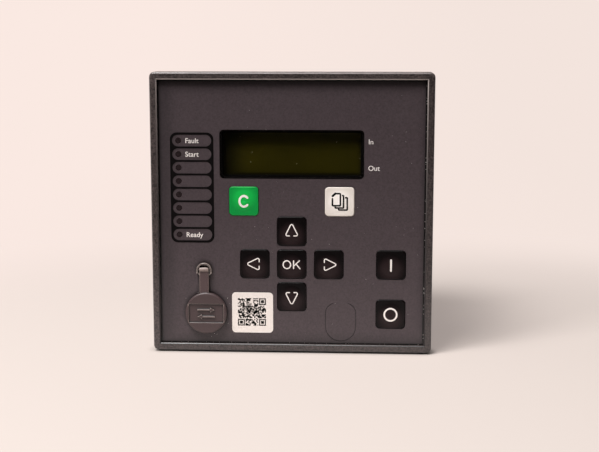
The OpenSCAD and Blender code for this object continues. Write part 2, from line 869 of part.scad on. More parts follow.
// Board behind the front: display, indicators, key switches and port
module display_board() {
    port_room = 0.3;
    color("#1f5a34") difference() {
        translate([0, 0, z_board_back]) linear_extrude(pcb_t) board_outline();
        on_face() {
            translate([port_x, port_y, 0]) box_between(
                port_w + 2 * port_room, port_h + 2 * port_room, z_board_back - 1, z_board + 1);
            translate([battery_x, battery_y, 0])
                bar_between(z_board_back - 1, z_board + 1, holder_r + screw_fit);
        }
        for (spot = post_spots) translate(spot)
            bar_between(z_board_back - 1, z_board + 1, board_screw_d / 2 + screw_fit);
    }
}

// Nine key switches on the display board
module key_switches() {
    color("#2d2a2b") for (spot = key_spots) translate(spot)
        box_between(switch_size, switch_size, z_board, z_board + switch_h);
}

// Cup that holds the battery behind the flap
module battery_holder() {
    rim_t = 1.2;
    color("#1c1a1b") translate([battery_x, battery_y, 0]) difference() {
        union() {
            bar_between(z_cell - holder_wall, z_back, holder_r);
            bar_between(z_board, z_board + rim_t, holder_r + holder_rim);
        }
        bar_between(z_cell, z_back + 1, battery_d / 2 + battery_fit);
    }
}

// Buffer battery with its raised pole
module battery_cell() {
    pole_h = 1;
    color("#7d8a94") translate([battery_x, battery_y, 0]) {
        bar_between(z_cell, z_cell + battery_len - pole_h, battery_d / 2);
        bar_between(z_cell, z_cell + battery_len, battery_d / 5);
    }
}

// Card edge socket that faces the processor board, drawn with its base at z = 0
module card_socket() {
    slot = pcb_t + 2 * seat_fit;
    difference() {
        box_between(link_w, link_h, 0, link_d);
        box_between(link_w - 2 * link_end, slot, link_d - link_in, link_d + 1);
    }
}

// Socket on the back of the display board
module front_link() {
    color("#e0d8c4") translate([0, card_y, z_board_back]) mirror([0, 0, 1]) card_socket();
}

// Socket on the rear board
module rear_link() {
    color("#e0d8c4") translate([0, card_y, z_io_front]) card_socket();
}

// Processor board between the two sockets, with its larger chips
module cpu_board() {
    front_edge = z_board_back - link_d + link_in - seat_fit;
    rear_edge = z_io_front + link_d - link_in + seat_fit;
    body_front = z_board_back - link_d - seat_fit;
    body_rear = z_io_front + link_d + seat_fit;
    edge_w = link_w - 2 * link_end - 2 * seat_fit;
    chip_h = 2;
    chips = [[-28, 20], [0, 26], [30, 16]];
    color("#1f5a34") translate([0, card_y, 0]) {
        box_between(edge_w, pcb_t, rear_edge, front_edge);
        box_between(case_inner - board_gap, pcb_t, body_rear, body_front);
        for (chip = chips) translate([chip[0], pcb_t / 2 + chip_h / 2, (body_rear + body_front) / 2])
            cube([chip[1], chip_h, chip[1]], center = true);
    }
}

// Rear board that carries the terminals and the power parts
module io_board() {
    color("#1f5a34") difference() {
        translate([0, 0, z_io]) linear_extrude(pcb_t) board_outline();
        for (spot = io_post_spots) translate(spot)
            bar_between(z_io - 1, z_io_front + 1, board_screw_d / 2 + screw_fit);
    }
}

// Potted transformer in the row behind the current block, counted from the left
module transformer(i) {
    color("#23262b") translate([(i - 2.5) * ct_pitch, current_block_y, 0])
        box_between(ct_w, ct_h, z_io_front, z_io_front + ct_d);
}

// Output relays behind the long block
module output_relays() {
    color("#2b3a55") for (i = [-1:1]) translate([i * relay_pitch, io_block_y, 0])
        box_between(relay_w, relay_h, z_io_front, z_io_front + relay_d);
}

// Capacitors that hold the energy for a trip
module storage_capacitors() {
    color("#23304a") for (i = [0, 1]) translate([capacitor_x + i * capacitor_pitch, store_y, 0])
        bar_between(z_io_front, z_io_front + capacitor_len, capacitor_d / 2);
}

// Potted supply converter
module supply_module() {
    color("#2a2a2a") translate([supply_x, store_y, 0])
        box_between(supply_w, supply_h, z_io_front, z_io_front + supply_d);
}

// Screws that hold the two boards on their posts
module board_screws() {
    len = pcb_t + board_screw_in;
    color("#a9a7a3") {
        for (spot = post_spots) translate([spot[0], spot[1], z_board_back])
            pan_screw(board_screw_d, len, board_head_d, board_head_h);
        for (spot = io_post_spots) translate([spot[0], spot[1], z_io_front]) mirror([0, 0, 1])
            pan_screw(board_screw_d, len, board_head_d, board_head_h);
    }
}

// Sleeve of the case with its pillars, card guides, vents and clamp pockets
module case_shell() {
    color("#3a3435") difference() {
        union() {
            translate([0, 0, z_cover]) linear_extrude(z_back - z_cover) difference() {
                rounded_square(case_w, case_w, case_r);
                square(case_inner, center = true);
            }
            translate([0, 0, z_cover]) linear_extrude(z_boss - z_cover)
                for (spot = corners) case_pillar(spot);
            card_guides();
        }
        for (spot = corners) translate(spot)
            bar_between(z_cover - 1, z_boss + 1, case_screw_d / 2 + screw_fit);
        vent_slots();
        clamp_pockets();
    }
}

// Section of one pillar, joined to the case's corner
module case_pillar(spot) {
    reach = case_inner / 2 - pillar_at + case_wall / 2;
    translate(spot) circle(pillar_r);
    for (turn = [[1, 0], [0, 1]]) {
        sx = sign(spot[0]);
        sy = sign(spot[1]);
        w = turn[0] ? reach : 2 * pillar_r;
        h = turn[0] ? 2 * pillar_r : reach;
        translate([spot[0] + (turn[0] ? sx * reach / 2 : 0), spot[1] + (turn[1] ? sy * reach / 2 : 0)])
            square([w, h], center = true);
    }
}

// Pairs of ribs that guide the processor board
module card_guides() {
    clear_z = 2;
    z0 = z_io_front + link_d + clear_z;
    z1 = z_board_back - link_d - clear_z;
    rib_y = pcb_t / 2 + seat_fit + guide_t / 2;
    for (sx = [-1, 1], sy = [-1, 1])
        translate([sx * (case_inner / 2 - guide_d / 2 + case_wall / 4), card_y + sy * rib_y, 0])
            box_between(guide_d + case_wall / 2, guide_t, z0, z1);
}

// Vent slots in the top and bottom walls
module vent_slots() {
    middle = (z_cover + z_boss) / 2;
    for (i = [0:vent_count - 1], sy = [-1, 1])
        translate([(i - (vent_count - 1) / 2) * vent_pitch, sy * (case_w / 2 - case_wall / 2), middle])
            cube([vent_w, case_wall + 2, vent_len], center = true);
}

// Blind pockets in the side walls for the hooks of panel clamps
module clamp_pockets() {
    for (sx = [-1, 1], sy = [-1, 1])
        translate([sx * case_w / 2, sy * pocket_y, -pocket_z - pocket_len / 2])
            cube([2 * pocket_d, pocket_h, pocket_len], center = true);
}

// Rear plate with openings for the terminals, and posts for the rear board
module rear_cover() {
    color("#332e2f") {
        difference() {
            plate_at(case_w, case_w, case_r, z_rear, cover_t);
            for (spot = corners) translate(spot) {
                bar_between(z_rear - 1, z_cover + 1, case_screw_d / 2 + screw_fit);
                bar_between(z_rear - 1, z_rear + case_head_h, case_head_d / 2 + screw_fit);
            }
            block_opening(0, io_block_y, io_block_w, io_block_h);
            block_opening(0, current_block_y, current_block_w, current_block_h);
            for (x = sensor_spots) block_opening(x, small_block_y, sensor_block_w, small_block_h);
            block_opening(comm_x, small_block_y, comm_block_w, small_block_h);
            translate([earth_x, earth_y, 0])
                bar_between(z_rear - 1, z_cover + 1, earth_d / 2 + stud_collar + thread_fit);
        }
        for (spot = io_post_spots) translate(spot) difference() {
            bar_between(z_cover, z_io, io_post_r);
            bar_between(z_cover + 1, z_io + 1, board_screw_d / 2 + thread_fit);
        }
    }
}

// Cut in the rear cover for one terminal block
module block_opening(x, y, w, h) {
    translate([x, y, 0])
        box_between(w + 2 * block_fit, h + 2 * block_fit, z_rear - 1, z_cover + 1);
}

// Long screws from the rear cover into the bezel's bosses
module case_screws() {
    tip_gap = 0.5;
    seat = z_rear + case_head_h;
    color("#a9a7a3") for (spot = corners) translate([spot[0], spot[1], seat])
        pan_screw(case_screw_d, z_back - 1 - tip_gap - seat, case_head_d, case_head_h);
}

// Threaded earth stud with its shoulder on the rear cover
module earth_stud() {
    color("#c2b070") translate([earth_x, earth_y, 0]) {
        bar_between(z_rear - shoulder_t, z_rear, shoulder_d / 2);
        bar_between(z_rear, z_cover, earth_d / 2 + stud_collar);
        bar_between(z_cover, z_cover + stud_nut_t, shoulder_d / 2);
        bar_between(z_rear - shoulder_t - earth_len, z_rear - shoulder_t, earth_d / 2);
    }
}

// Terminal block with a screw well above and a wire entry below for each pole
module terminal_block(w, h, poles, pitch, gap, hole_r, hole_d, slot_w, slot_h, slot_d) {
    difference() {
        box_between(w, h, z_block, z_io);
        for (i = [0:poles - 1]) translate([(i - (poles - 1) / 2) * pitch, 0, 0]) {
            translate([0, gap, 0]) bar_between(z_block - 1, z_block + hole_d, hole_r);
            translate([0, -gap, 0]) box_between(slot_w, slot_h, z_block - 1, z_block + slot_d);
        }
    }
}

// Block with small terminals
module small_block(w, h, poles) {
    terminal_block(w, h, poles, small_pitch, row_gap, well_r, well_d, entry_w, entry_h, entry_d);
}

// Long block for the supply, inputs and outputs
module io_block() {
    color("#2f7a3c") translate([0, io_block_y, 0]) small_block(io_block_w, io_block_h, io_poles);
}

// Block for the current transformer circuits
module current_block() {
    color("#1d1b1c") translate([0, current_block_y, 0])
        terminal_block(current_block_w, current_block_h, current_poles, current_pitch,
            current_row_gap, current_well_r, current_well_d,
            current_entry_w, current_entry_h, current_entry_d);
}

// Block for one light sensor
module sensor_block(i) {
    color("#2f7a3c") translate([sensor_spots[i - 1], small_block_y, 0])
        small_block(sensor_block_w, small_block_h, sensor_poles);
}

// Block for the serial link
module comm_block() {
    color("#2f7a3c") translate([comm_x, small_block_y, 0])
        small_block(comm_block_w, small_block_h, comm_poles);
}

// Slotted heads at the bottom of a row of wells
module well_screws(poles, pitch, gap, hole_r, hole_d) {
    head_r = hole_r - head_fit;
    head_h = hole_d / 2;
    for (i = [0:poles - 1]) translate([(i - (poles - 1) / 2) * pitch, gap, z_block + hole_d - head_h])
        difference() {
            cylinder(h = head_h, r = head_r);
            box_between(2 * head_r + 1, head_r / 3, -1, head_h / 3);
        }
}

// Screws of the current terminals
module current_screws() {
    color("#b5b2ac") translate([0, current_block_y, 0])
        well_screws(current_poles, current_pitch, current_row_gap, current_well_r, current_well_d);
}

// Screws of the small terminals
module block_screws() {
    color("#b5b2ac") {
        translate([0, io_block_y, 0])
            well_screws(io_poles, small_pitch, row_gap, well_r, well_d);
        for (x = sensor_spots) translate([x, small_block_y, 0])
            well_screws(sensor_poles, small_pitch, row_gap, well_r, well_d);
        translate([comm_x, small_block_y, 0])
            well_screws(comm_poles, small_pitch, row_gap, well_r, well_d);
    }
}

upright() front_bezel();
upright() panel_gasket();
upright() front_overlay();
upright() on_face() led_label_field();
upright() on_face() display_window();
for (i = [1:led_count])
    upright() on_face() led_lens(i);
for (i = [0:len(key_names) - 1])
    upright() on_face() key(key_spots[i], key_colours[i]);
upright() on_face() port_cover();
upright() on_face() port_anchor();
upright() on_face() port_shell();
upright() on_face() port_insert();
upright() on_face() code_label();
upright() on_face() lcd_frame();
upright() on_face() lcd_glass();
upright() on_face() lcd_board();
upright() display_board();
upright() on_face() key_switches();
upright() on_face() battery_holder();
upright() on_face() battery_cell();
upright() front_link();
upright() cpu_board();
upright() rear_link();
upright() io_board();
for (i = [1:3])
    upright() transformer(i);
upright() transformer(4);  // earth_fault_transformer
upright() output_relays();
upright() storage_capacitors();
upright() supply_module();
upright() board_screws();
upright() case_shell();
upright() rear_cover();
upright() case_screws();
upright() earth_stud();
upright() io_block();
upright() current_block();
upright() current_screws();
for (i = [1:3])
    upright() sensor_block(i);
upright() comm_block();
upright() block_screws();
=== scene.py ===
# Panel-mounted protection relay: the looks of every piece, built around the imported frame.
# Each section is one piece or one group of like pieces, in the order they are put together.
import math
import random

import bmesh
import bpy
from mathutils import Matrix, Vector


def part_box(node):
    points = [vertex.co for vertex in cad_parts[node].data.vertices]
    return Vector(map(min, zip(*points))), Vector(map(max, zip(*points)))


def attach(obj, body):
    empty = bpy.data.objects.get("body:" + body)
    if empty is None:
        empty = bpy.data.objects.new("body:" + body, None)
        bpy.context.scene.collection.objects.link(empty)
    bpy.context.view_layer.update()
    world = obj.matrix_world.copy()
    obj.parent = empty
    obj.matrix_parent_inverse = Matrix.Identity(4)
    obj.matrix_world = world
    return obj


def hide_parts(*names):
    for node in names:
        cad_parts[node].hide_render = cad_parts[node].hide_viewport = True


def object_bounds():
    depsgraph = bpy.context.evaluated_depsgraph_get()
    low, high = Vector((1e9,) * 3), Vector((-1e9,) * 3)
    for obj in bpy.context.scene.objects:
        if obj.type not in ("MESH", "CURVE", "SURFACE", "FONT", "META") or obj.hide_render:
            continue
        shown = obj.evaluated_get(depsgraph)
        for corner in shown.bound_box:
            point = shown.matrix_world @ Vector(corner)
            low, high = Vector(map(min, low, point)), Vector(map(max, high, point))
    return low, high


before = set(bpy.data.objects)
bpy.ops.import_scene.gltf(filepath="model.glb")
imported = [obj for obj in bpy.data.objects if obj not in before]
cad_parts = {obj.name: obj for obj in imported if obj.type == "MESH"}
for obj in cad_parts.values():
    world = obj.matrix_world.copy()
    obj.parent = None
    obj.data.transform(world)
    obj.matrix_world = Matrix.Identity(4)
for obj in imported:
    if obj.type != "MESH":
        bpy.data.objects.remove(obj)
cad_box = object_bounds()

# Case sleeve
# A square sleeve with vents, clamp pockets and screw pillars, moulded in one piece from dark grey ABS.
# The tool was spark eroded, which leaves a fine even grain and a dull sheen.
# The real grain is too fine to show, so it is drawn coarser, here and on the other mouldings.
MM = 0.001
CASE_GRAIN = 0.9 * MM
CASE_GRAIN_DEPTH = 0.03 * MM
FLOW_MARKS = 45 * MM
PIT_STRENGTH = 0.6
SHEEN_SWING = 0.08


def linear(code):
    """Linear colour of an sRGB hex value."""
    channels = [int(code[i:i + 2], 16) / 255 for i in (1, 3, 5)]
    return [c / 12.92 if c <= 0.04045 else ((c + 0.055) / 1.055) ** 2.4 for c in channels] + [1.0]


def new_finish(name, sockets):
    """New material with its node tree and shader, and constant values set on the shader's own sockets."""
    finish = bpy.data.materials.new(name)
    finish.use_nodes = True
    shader = finish.node_tree.nodes["Principled BSDF"]
    for socket, value in sockets.items():
        shader.inputs[socket].default_value = value
    return finish, finish.node_tree, shader


def feed(node, links):
    """Links outputs to a node's inputs. A node given as a source stands for its first output in use."""
    for key, source in links.items():
        if isinstance(source, bpy.types.Node):
            source = next(socket for socket in source.outputs if socket.enabled)
        node.id_data.links.new(source, node.inputs[key])


def add_node(tree, kind, settings=None, links=None):
    """New node with its settings, which are properties or sockets, and what feeds it."""
    # Sockets 0, 6 and 7 of a colour mix are its factor and its two colours.
    node = tree.nodes.new("ShaderNode" + kind)
    for key, value in (settings or {}).items():
        if isinstance(key, str) and hasattr(node, key):
            setattr(node, key, value)
        else:
            node.inputs[key].default_value = value
    feed(node, links or {})
    return node


def moulded(name, dark, light, grain, depth, roughness, ior=1.54, gloss=0.5, contrast=1.0):
    """Finish with pits of one grain size, as its mould or tool leaves, and slow marks in its sheen."""
    finish, tree, shader = new_finish(name, {"IOR": ior, "Specular IOR Level": gloss})
    place = add_node(tree, "TexCoord").outputs["Object"]
    spread = add_node(tree, "TexNoise", {"Scale": 1 / grain, "Detail": 3.0, "Roughness": 0.6},
                      {"Vector": place})
    pits = add_node(tree, "MapRange", {"From Min": 0.5 - 0.5 / contrast, "From Max": 0.5 + 0.5 / contrast},
                    {"Value": spread})
    flow = add_node(tree, "TexNoise", {"Scale": 1 / FLOW_MARKS, "Detail": 2.0}, {"Vector": place})
    shade = add_node(tree, "Mix", {"data_type": "RGBA", 6: linear(dark), 7: linear(light)}, {0: pits})
    sheen = add_node(tree, "MapRange", {"To Min": roughness - SHEEN_SWING, "To Max": roughness + SHEEN_SWING},
                     {"Value": flow})
    dents = add_node(tree, "Bump", {"Strength": PIT_STRENGTH, "Distance": depth}, {"Height": pits})
    feed(shader, {"Base Color": shade, "Roughness": sheen, "Normal": dents})
    return finish


def dress(finish, *names):
    """Gives solids of the frame one finish."""
    for name in names:
        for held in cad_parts[name].material_slots:
            held.material = finish


dress(moulded("moulded_abs_case", "#3b3536", "#4a4344", CASE_GRAIN, CASE_GRAIN_DEPTH, 0.5), "case_shell")

# Rear cover
# A flat moulded ABS plate with openings for the terminals, which four long screws hold on the sleeve.
# It carries screen-printed terminal numbers, the earth sign beside the stud and a bare rating plate.
INK = 0.04 * MM
INK_PATCHES = 0.5 * MM
CAP_SHARE = 0.7
NUMBER_HEIGHT = 2.4 * MM
NUMBER_GAP = 2.6 * MM
SIGNAL_PITCH = 5.08 * MM
CURRENT_PITCH = 9.5 * MM
POLES = {"io_block": (14, SIGNAL_PITCH), "current_block": (8, CURRENT_PITCH),
         "sensor_block_1": (2, SIGNAL_PITCH), "sensor_block_2": (2, SIGNAL_PITCH),
         "sensor_block_3": (2, SIGNAL_PITCH), "comm_block": (3, SIGNAL_PITCH)}
SIGN_SIZE = 3.2 * MM
SIGN_RISE = 9.5 * MM
SIGN_LINE = 0.45 * MM
SIGN_STEM = (0.62, 0.36)
SIGN_BARS = ((1.25, 0.05), (0.85, -0.21), (0.45, -0.47))
PLATE_SIZE = (62 * MM, 18 * MM)
PLATE_RISE = 16 * MM
PLATE_THICK = 0.25 * MM
PLATE_CORNER = 1.5 * MM
BRUSH_LENGTH = 9 * MM
BRUSH_WIDTH = 0.25 * MM
TABLE_CORNER = 0.8 * MM
TABLE_FRAME = 0.3 * MM
TABLE_RULE = 0.2 * MM
TABLE_X_MM = 29
TABLE_Z_MM = 7.2
TABLE_ROWS_MM = (-2.4, 2.4)
TABLE_COLUMNS_MM = (-10, 12)


def fit_on(name, mesh, finish, body):
    """Adds a mesh to the scene as a piece that rides on a body."""
    piece = bpy.data.objects.new(name, mesh)
    bpy.context.scene.collection.objects.link(piece)
    mesh.materials.append(finish)
    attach(piece, body)
    return piece


def lettering(words, height, place, back=False, align="CENTER", weight=0.0):
    """Mesh of printed words with their middle line at a place, read from the front or from the back."""
    curve = bpy.data.curves.new("words", "FONT")
    curve.body = words
    curve.size = height / CAP_SHARE
    curve.align_x = align
    curve.offset = weight
    curve.extrude = INK / 2
    writing = bpy.data.objects.new("words", curve)
    bpy.context.scene.collection.objects.link(writing)
    seen = writing.evaluated_get(bpy.context.evaluated_depsgraph_get())
    mesh = bpy.data.meshes.new_from_object(seen)
    drop = Matrix.Translation((0, -height / 2, 0))
    stand = Matrix.Rotation(math.pi / 2, 4, "X")
    turn = Matrix.Rotation(math.pi if back else 0, 4, "Z")
    mesh.transform(Matrix.Translation(place) @ turn @ stand @ drop)
    mesh.materials.clear()
    bpy.data.objects.remove(writing)
    bpy.data.curves.remove(curve)
    return mesh


def joined(meshes, name):
    """One mesh from several."""
    shape = bmesh.new()
    for mesh in meshes:
        shape.from_mesh(mesh)
        bpy.data.meshes.remove(mesh)
    whole = bpy.data.meshes.new(name)
    shape.to_mesh(whole)
    shape.free()
    return whole


def printed_ink(name, shade, gloss=0.3):
    """Screen-printed ink: a dull film whose cover varies a little over a few tenths of a millimetre."""
    finish, tree, shader = new_finish(name, {"Roughness": 0.6, "IOR": 1.5, "Specular IOR Level": gloss})
    place = add_node(tree, "TexCoord").outputs["Object"]
    cover = add_node(tree, "TexNoise", {"Scale": 1 / INK_PATCHES, "Detail": 2.0}, {"Vector": place})
    value = add_node(tree, "MapRange", {"To Min": 0.9, "To Max": 1.04}, {"Value": cover})
    tone = add_node(tree, "HueSaturation", {"Color": linear(shade)}, {"Value": value})
    feed(shader, {"Base Color": tone})
    return finish


def spot_list(*pairs):
    """Flat points from pairs of millimetres."""
    return [Vector(pair) * MM for pair in pairs]


def arc(middle, radius_x, radius_z, start, end, steps=40):
    """Points on part of an ellipse, between two angles in degrees."""
    turns = [math.radians(start + (end - start) * i / steps) for i in range(steps + 1)]
    return [middle + Vector((radius_x * math.cos(t), radius_z * math.sin(t))) for t in turns]


def rounded(corners, radius, closed=False, steps=8):
    """Points along straight lines between corners, with an arc at each corner."""
    path = []
    for i, here in enumerate(corners):
        if not closed and i in (0, len(corners) - 1):
            path.append(here)
            continue
        back = (corners[i - 1] - here).normalized()
        ahead = (corners[(i + 1) % len(corners)] - here).normalized()
        half = back.angle(ahead) / 2
        middle = here + (back + ahead).normalized() * radius / math.sin(half)
        start = here + back * radius / math.tan(half) - middle
        side = math.copysign(1, back.y * ahead.x - back.x * ahead.y)
        sweep = side * (math.pi - 2 * half)
        path += [middle + Matrix.Rotation(sweep * k / steps, 2) @ start for k in range(steps + 1)]
    return path


def stroke(path, width, closed=False):
    """Flat line of one width along points, as corner points and four-sided faces."""
    count = len(path)
    points = []
    for i, here in enumerate(path):
        before = path[i - 1] if closed or i else here
        after = path[(i + 1) % count] if closed or i < count - 1 else here
        along = (after - before).normalized()
        side = Vector((-along.y, along.x)) * width / 2
        points += [here + side, here - side]
    steps = [(i, (i + 1) % count) for i in range(count if closed else count - 1)]
    return points, [(2 * a, 2 * a + 1, 2 * b + 1, 2 * b) for a, b in steps]


def outline(path):
    """Flat shape with one outline."""
    return path, [tuple(range(len(path)))]


def rectangle(width, height, middle=Vector((0, 0))):
    """Corners of a rectangle."""
    w, h = width / 2, height / 2
    return [middle + Vector(c) for c in ((-w, -h), (w, -h), (w, h), (-w, h))]


def laid(name, shapes, surface, thick=INK):
    """Closed thin mesh of flat shapes laid on a surface, which gives the place of each flat point."""
    shape = bmesh.new()
    for points, faces in shapes:
        corners = [shape.verts.new(surface(p.x, p.y)) for p in points]
        for face in faces:
            shape.faces.new([corners[i] for i in face])
    bmesh.ops.recalc_face_normals(shape, faces=shape.faces[:])
    bmesh.ops.solidify(shape, geom=shape.faces[:], thickness=thick)
    bmesh.ops.recalc_face_normals(shape, faces=shape.faces[:])
    mesh = bpy.data.meshes.new(name)
    shape.to_mesh(mesh)
    shape.free()
    return mesh


# Moulded ABS like the sleeve's, a touch darker, with the same dull grain.
dress(moulded("moulded_abs_cover", "#353031", "#433d3e", CASE_GRAIN, CASE_GRAIN_DEPTH, 0.52), "rear_cover")
cover_low, cover_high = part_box("rear_cover")

# White screen ink: thin, even and dull, so it reads as flat print.
white_ink = printed_ink("screen_ink_white", "#f3eae4")
numbers = []
for block, (poles, pitch) in POLES.items():
    low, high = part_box(block)
    middle = (low + high) / 2
    for pole in range(poles):
        across = middle.x + (pole - (poles - 1) / 2) * pitch
        spot = (across, cover_high.y, high.z + NUMBER_GAP)
        numbers.append(lettering(str(poles - pole), NUMBER_HEIGHT, spot, back=True))
fit_on("terminal_numbers", joined(numbers, "terminal_numbers"), white_ink, "relay")

stud_low, stud_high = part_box("earth_stud")
stud_x = (stud_low.x + stud_high.x) / 2
stud_z = (stud_low.z + stud_high.z) / 2
sign_z = stud_z + SIGN_RISE
ring = stroke(arc(Vector((0, 0)), SIGN_SIZE, SIGN_SIZE, 0, 360)[:-1], SIGN_LINE, closed=True)
stem_length, stem_rise = SIGN_STEM
stem = outline(rectangle(SIGN_LINE, stem_length * SIGN_SIZE, Vector((0, stem_rise * SIGN_SIZE))))
bars = [outline(rectangle(width * SIGN_SIZE, SIGN_LINE, Vector((0, rise * SIGN_SIZE))))
        for width, rise in SIGN_BARS]
sign = laid("earth_sign", [ring, stem, *bars],
            lambda x, z: (stud_x - x, cover_high.y + INK / 2, sign_z + z))
fit_on("earth_sign", sign, white_ink, "relay")

# Brushed polyester foil: lines along the plate, drawn coarser than real, give it a soft metallic glint.
rating_foil, foil_tree, foil_shader = new_finish(
    "brushed_polyester_foil", {"Metallic": 0.7, "Roughness": 0.42})
foil_place = add_node(foil_tree, "TexCoord").outputs["Object"]
foil_scale = add_node(foil_tree, "Mapping", {"Scale": (1 / BRUSH_LENGTH, 1, 1 / BRUSH_WIDTH)},
                      {"Vector": foil_place})
foil_lines = add_node(foil_tree, "TexNoise", {"Scale": 1.0, "Detail": 2.0}, {"Vector": foil_scale})
foil_shade = add_node(foil_tree, "Mix", {"data_type": "RGBA", 6: linear("#9d9997"), 7: linear("#c3bfbc")},
                      {0: foil_lines})
feed(foil_shader, {"Base Color": foil_shade})
plate_z = cover_low.z + PLATE_RISE
plate = laid("rating_plate", [outline(rounded(rectangle(*PLATE_SIZE), PLATE_CORNER, closed=True))],
             lambda x, z: (-x, cover_high.y + PLATE_THICK / 2, plate_z + z), PLATE_THICK)
fit_on("rating_plate", plate, rating_foil, "relay")

# Black screen ink: as thin as the white one and nearly without gloss, so it stays deep.
black_ink = printed_ink("screen_ink_black", "#0c0808", gloss=0.15)
table_edge = rounded(rectangle(2 * TABLE_X_MM * MM, 2 * TABLE_Z_MM * MM), TABLE_CORNER, closed=True)
rules = [spot_list((-TABLE_X_MM, z), (TABLE_X_MM, z)) for z in TABLE_ROWS_MM]
rules += [spot_list((x, -TABLE_Z_MM), (x, TABLE_Z_MM)) for x in TABLE_COLUMNS_MM]
table = laid("rating_table",
             [stroke(table_edge, TABLE_FRAME, closed=True), *[stroke(rule, TABLE_RULE) for rule in rules]],
             lambda x, z: (-x, cover_high.y + PLATE_THICK, plate_z + z))
fit_on("rating_table", table, black_ink, "relay")

# Terminal blocks
# Plug-in blocks moulded in glass-filled polyamide: green for signals, black for the current circuits.
# The resin flows well, so their skins are smooth, a little waxy and softly rounded at the edges.
POLYAMIDE_MARKS = 1.6 * MM
SKIN_DEPTH = 0.01 * MM
BLOCK_EDGE = 0.3 * MM
WELD_REACH = 0.001 * MM
SHARP_ANGLE = 50


def soften(width, *names):
    """Rounds the sharp edges of solids by a moulded radius."""
    for name in names:
        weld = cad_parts[name].modifiers.new("weld", "WELD")
        weld.merge_threshold = WELD_REACH
        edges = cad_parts[name].modifiers.new("edges", "BEVEL")
        edges.width = width
        edges.segments = 2
        edges.limit_method = "ANGLE"
        edges.angle_limit = math.radians(SHARP_ANGLE)
        edges.use_clamp_overlap = True


green_blocks = ["io_block", "sensor_block_1", "sensor_block_2", "sensor_block_3", "comm_block"]
dress(moulded("moulded_polyamide_green", "#2a7038", "#338344", POLYAMIDE_MARKS, SKIN_DEPTH, 0.36),
      *green_blocks)
dress(moulded("moulded_polyamide_black", "#171516", "#232021", POLYAMIDE_MARKS, SKIN_DEPTH, 0.36),
      "current_block")
soften(BLOCK_EDGE, *green_blocks, "current_block")

# Screws
# Terminal, case and board screws are cold-headed steel with a bright zinc plating.
# The plating is even, with faint cloudy patches and a soft metallic gloss.
ZINC_CLOUDS = 1.2 * MM
SCREW_EDGE = 0.15 * MM
zinc, zinc_tree, zinc_shader = new_finish("zinc_plated_steel", {"Metallic": 1.0})
zinc_place = add_node(zinc_tree, "TexCoord").outputs["Object"]
clouds = add_node(zinc_tree, "TexNoise", {"Scale": 1 / ZINC_CLOUDS, "Detail": 3.0}, {"Vector": zinc_place})
zinc_shade = add_node(zinc_tree, "Mix", {"data_type": "RGBA", 6: linear("#a8a7a6"), 7: linear("#cfcecb")},
                      {0: clouds})
zinc_sheen = add_node(zinc_tree, "MapRange", {"To Min": 0.24, "To Max": 0.42}, {"Value": clouds})
feed(zinc_shader, {"Base Color": zinc_shade, "Roughness": zinc_sheen})
dress(zinc, "case_screws", "board_screws", "block_screws", "current_screws")
soften(SCREW_EDGE, "case_screws")

# Earth stud
# A turned brass stud that clamps the rear cover between its shoulder and an inner collar.
# Its free end has a cut thread with sharp bright crests, and the turned faces have a warm even gloss.
# The tool's fine marks are drawn coarser than real.
THREAD_PITCH = 0.7 * MM
THREAD_DEPTH = 0.38 * MM
STUD_RADIUS = 2 * MM
SHOULDER_RADIUS = 4 * MM
COLLAR_RADIUS = 2.6 * MM
SHOULDER_THICK = 2 * MM
INNER_THICK = 1.5 * MM
TURNED_EDGE = 0.3 * MM
TOOL_MARKS = 0.8 * MM
TOOL_DEPTH = 0.002 * MM
ROUND_STEPS = 48
THREAD_ROWS = 9


def stud_rows():
    """Places along the stud with their radius and how deep the thread is cut there."""
    back = stud_low.y
    cover = back + INNER_THICK
    rear = cover_high.y
    shoulder = rear + SHOULDER_THICK
    plain = [(back, SHOULDER_RADIUS), (cover, SHOULDER_RADIUS), (cover, COLLAR_RADIUS), (rear, COLLAR_RADIUS),
             (rear, SHOULDER_RADIUS), (shoulder - TURNED_EDGE, SHOULDER_RADIUS),
             (shoulder, SHOULDER_RADIUS - TURNED_EDGE), (shoulder, STUD_RADIUS)]
    rows = [(y, radius, 0.0) for y, radius in plain]
    count = int((stud_high.y - shoulder) / THREAD_PITCH * THREAD_ROWS)
    for i in range(1, count + 1):
        y = shoulder + (stud_high.y - shoulder) * i / count
        fade = min(1.0, (y - shoulder) / THREAD_PITCH)
        point = max(0.0, y - stud_high.y + 2 * TURNED_EDGE)
        rows.append((y, STUD_RADIUS - point, THREAD_DEPTH * fade))
    return rows


def skin(shape, rings):
    """Four-sided faces between neighbouring rings of points, all the way around."""
    count = len(rings[0])
    for near, far in zip(rings, rings[1:]):
        for step in range(count):
            after = (step + 1) % count
            shape.faces.new((near[step], far[step], far[after], near[after]))


brass = moulded("turned_brass", "#b4924e", "#cbaa66", TOOL_MARKS, TOOL_DEPTH, 0.3, ior=1.5)
brass.node_tree.nodes["Principled BSDF"].inputs["Metallic"].default_value = 1.0
turned = bmesh.new()
rings = []
for y, radius, cut in stud_rows():
    around = []
    for step in range(ROUND_STEPS):
        turn = 2 * math.pi * step / ROUND_STEPS
        phase = (y / THREAD_PITCH - step / ROUND_STEPS) % 1.0
        r = radius - cut * abs(2 * phase - 1)
        around.append(turned.verts.new((stud_x + r * math.cos(turn), y, stud_z + r * math.sin(turn))))
    rings.append(around)
skin(turned, rings)
turned.faces.new(rings[0])
turned.faces.new(rings[-1])
bmesh.ops.recalc_face_normals(turned, faces=turned.faces[:])
stud_mesh = bpy.data.meshes.new("threaded_stud")
turned.to_mesh(stud_mesh)
turned.free()
stud = fit_on("threaded_stud", stud_mesh, brass, "relay")
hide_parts("earth_stud")

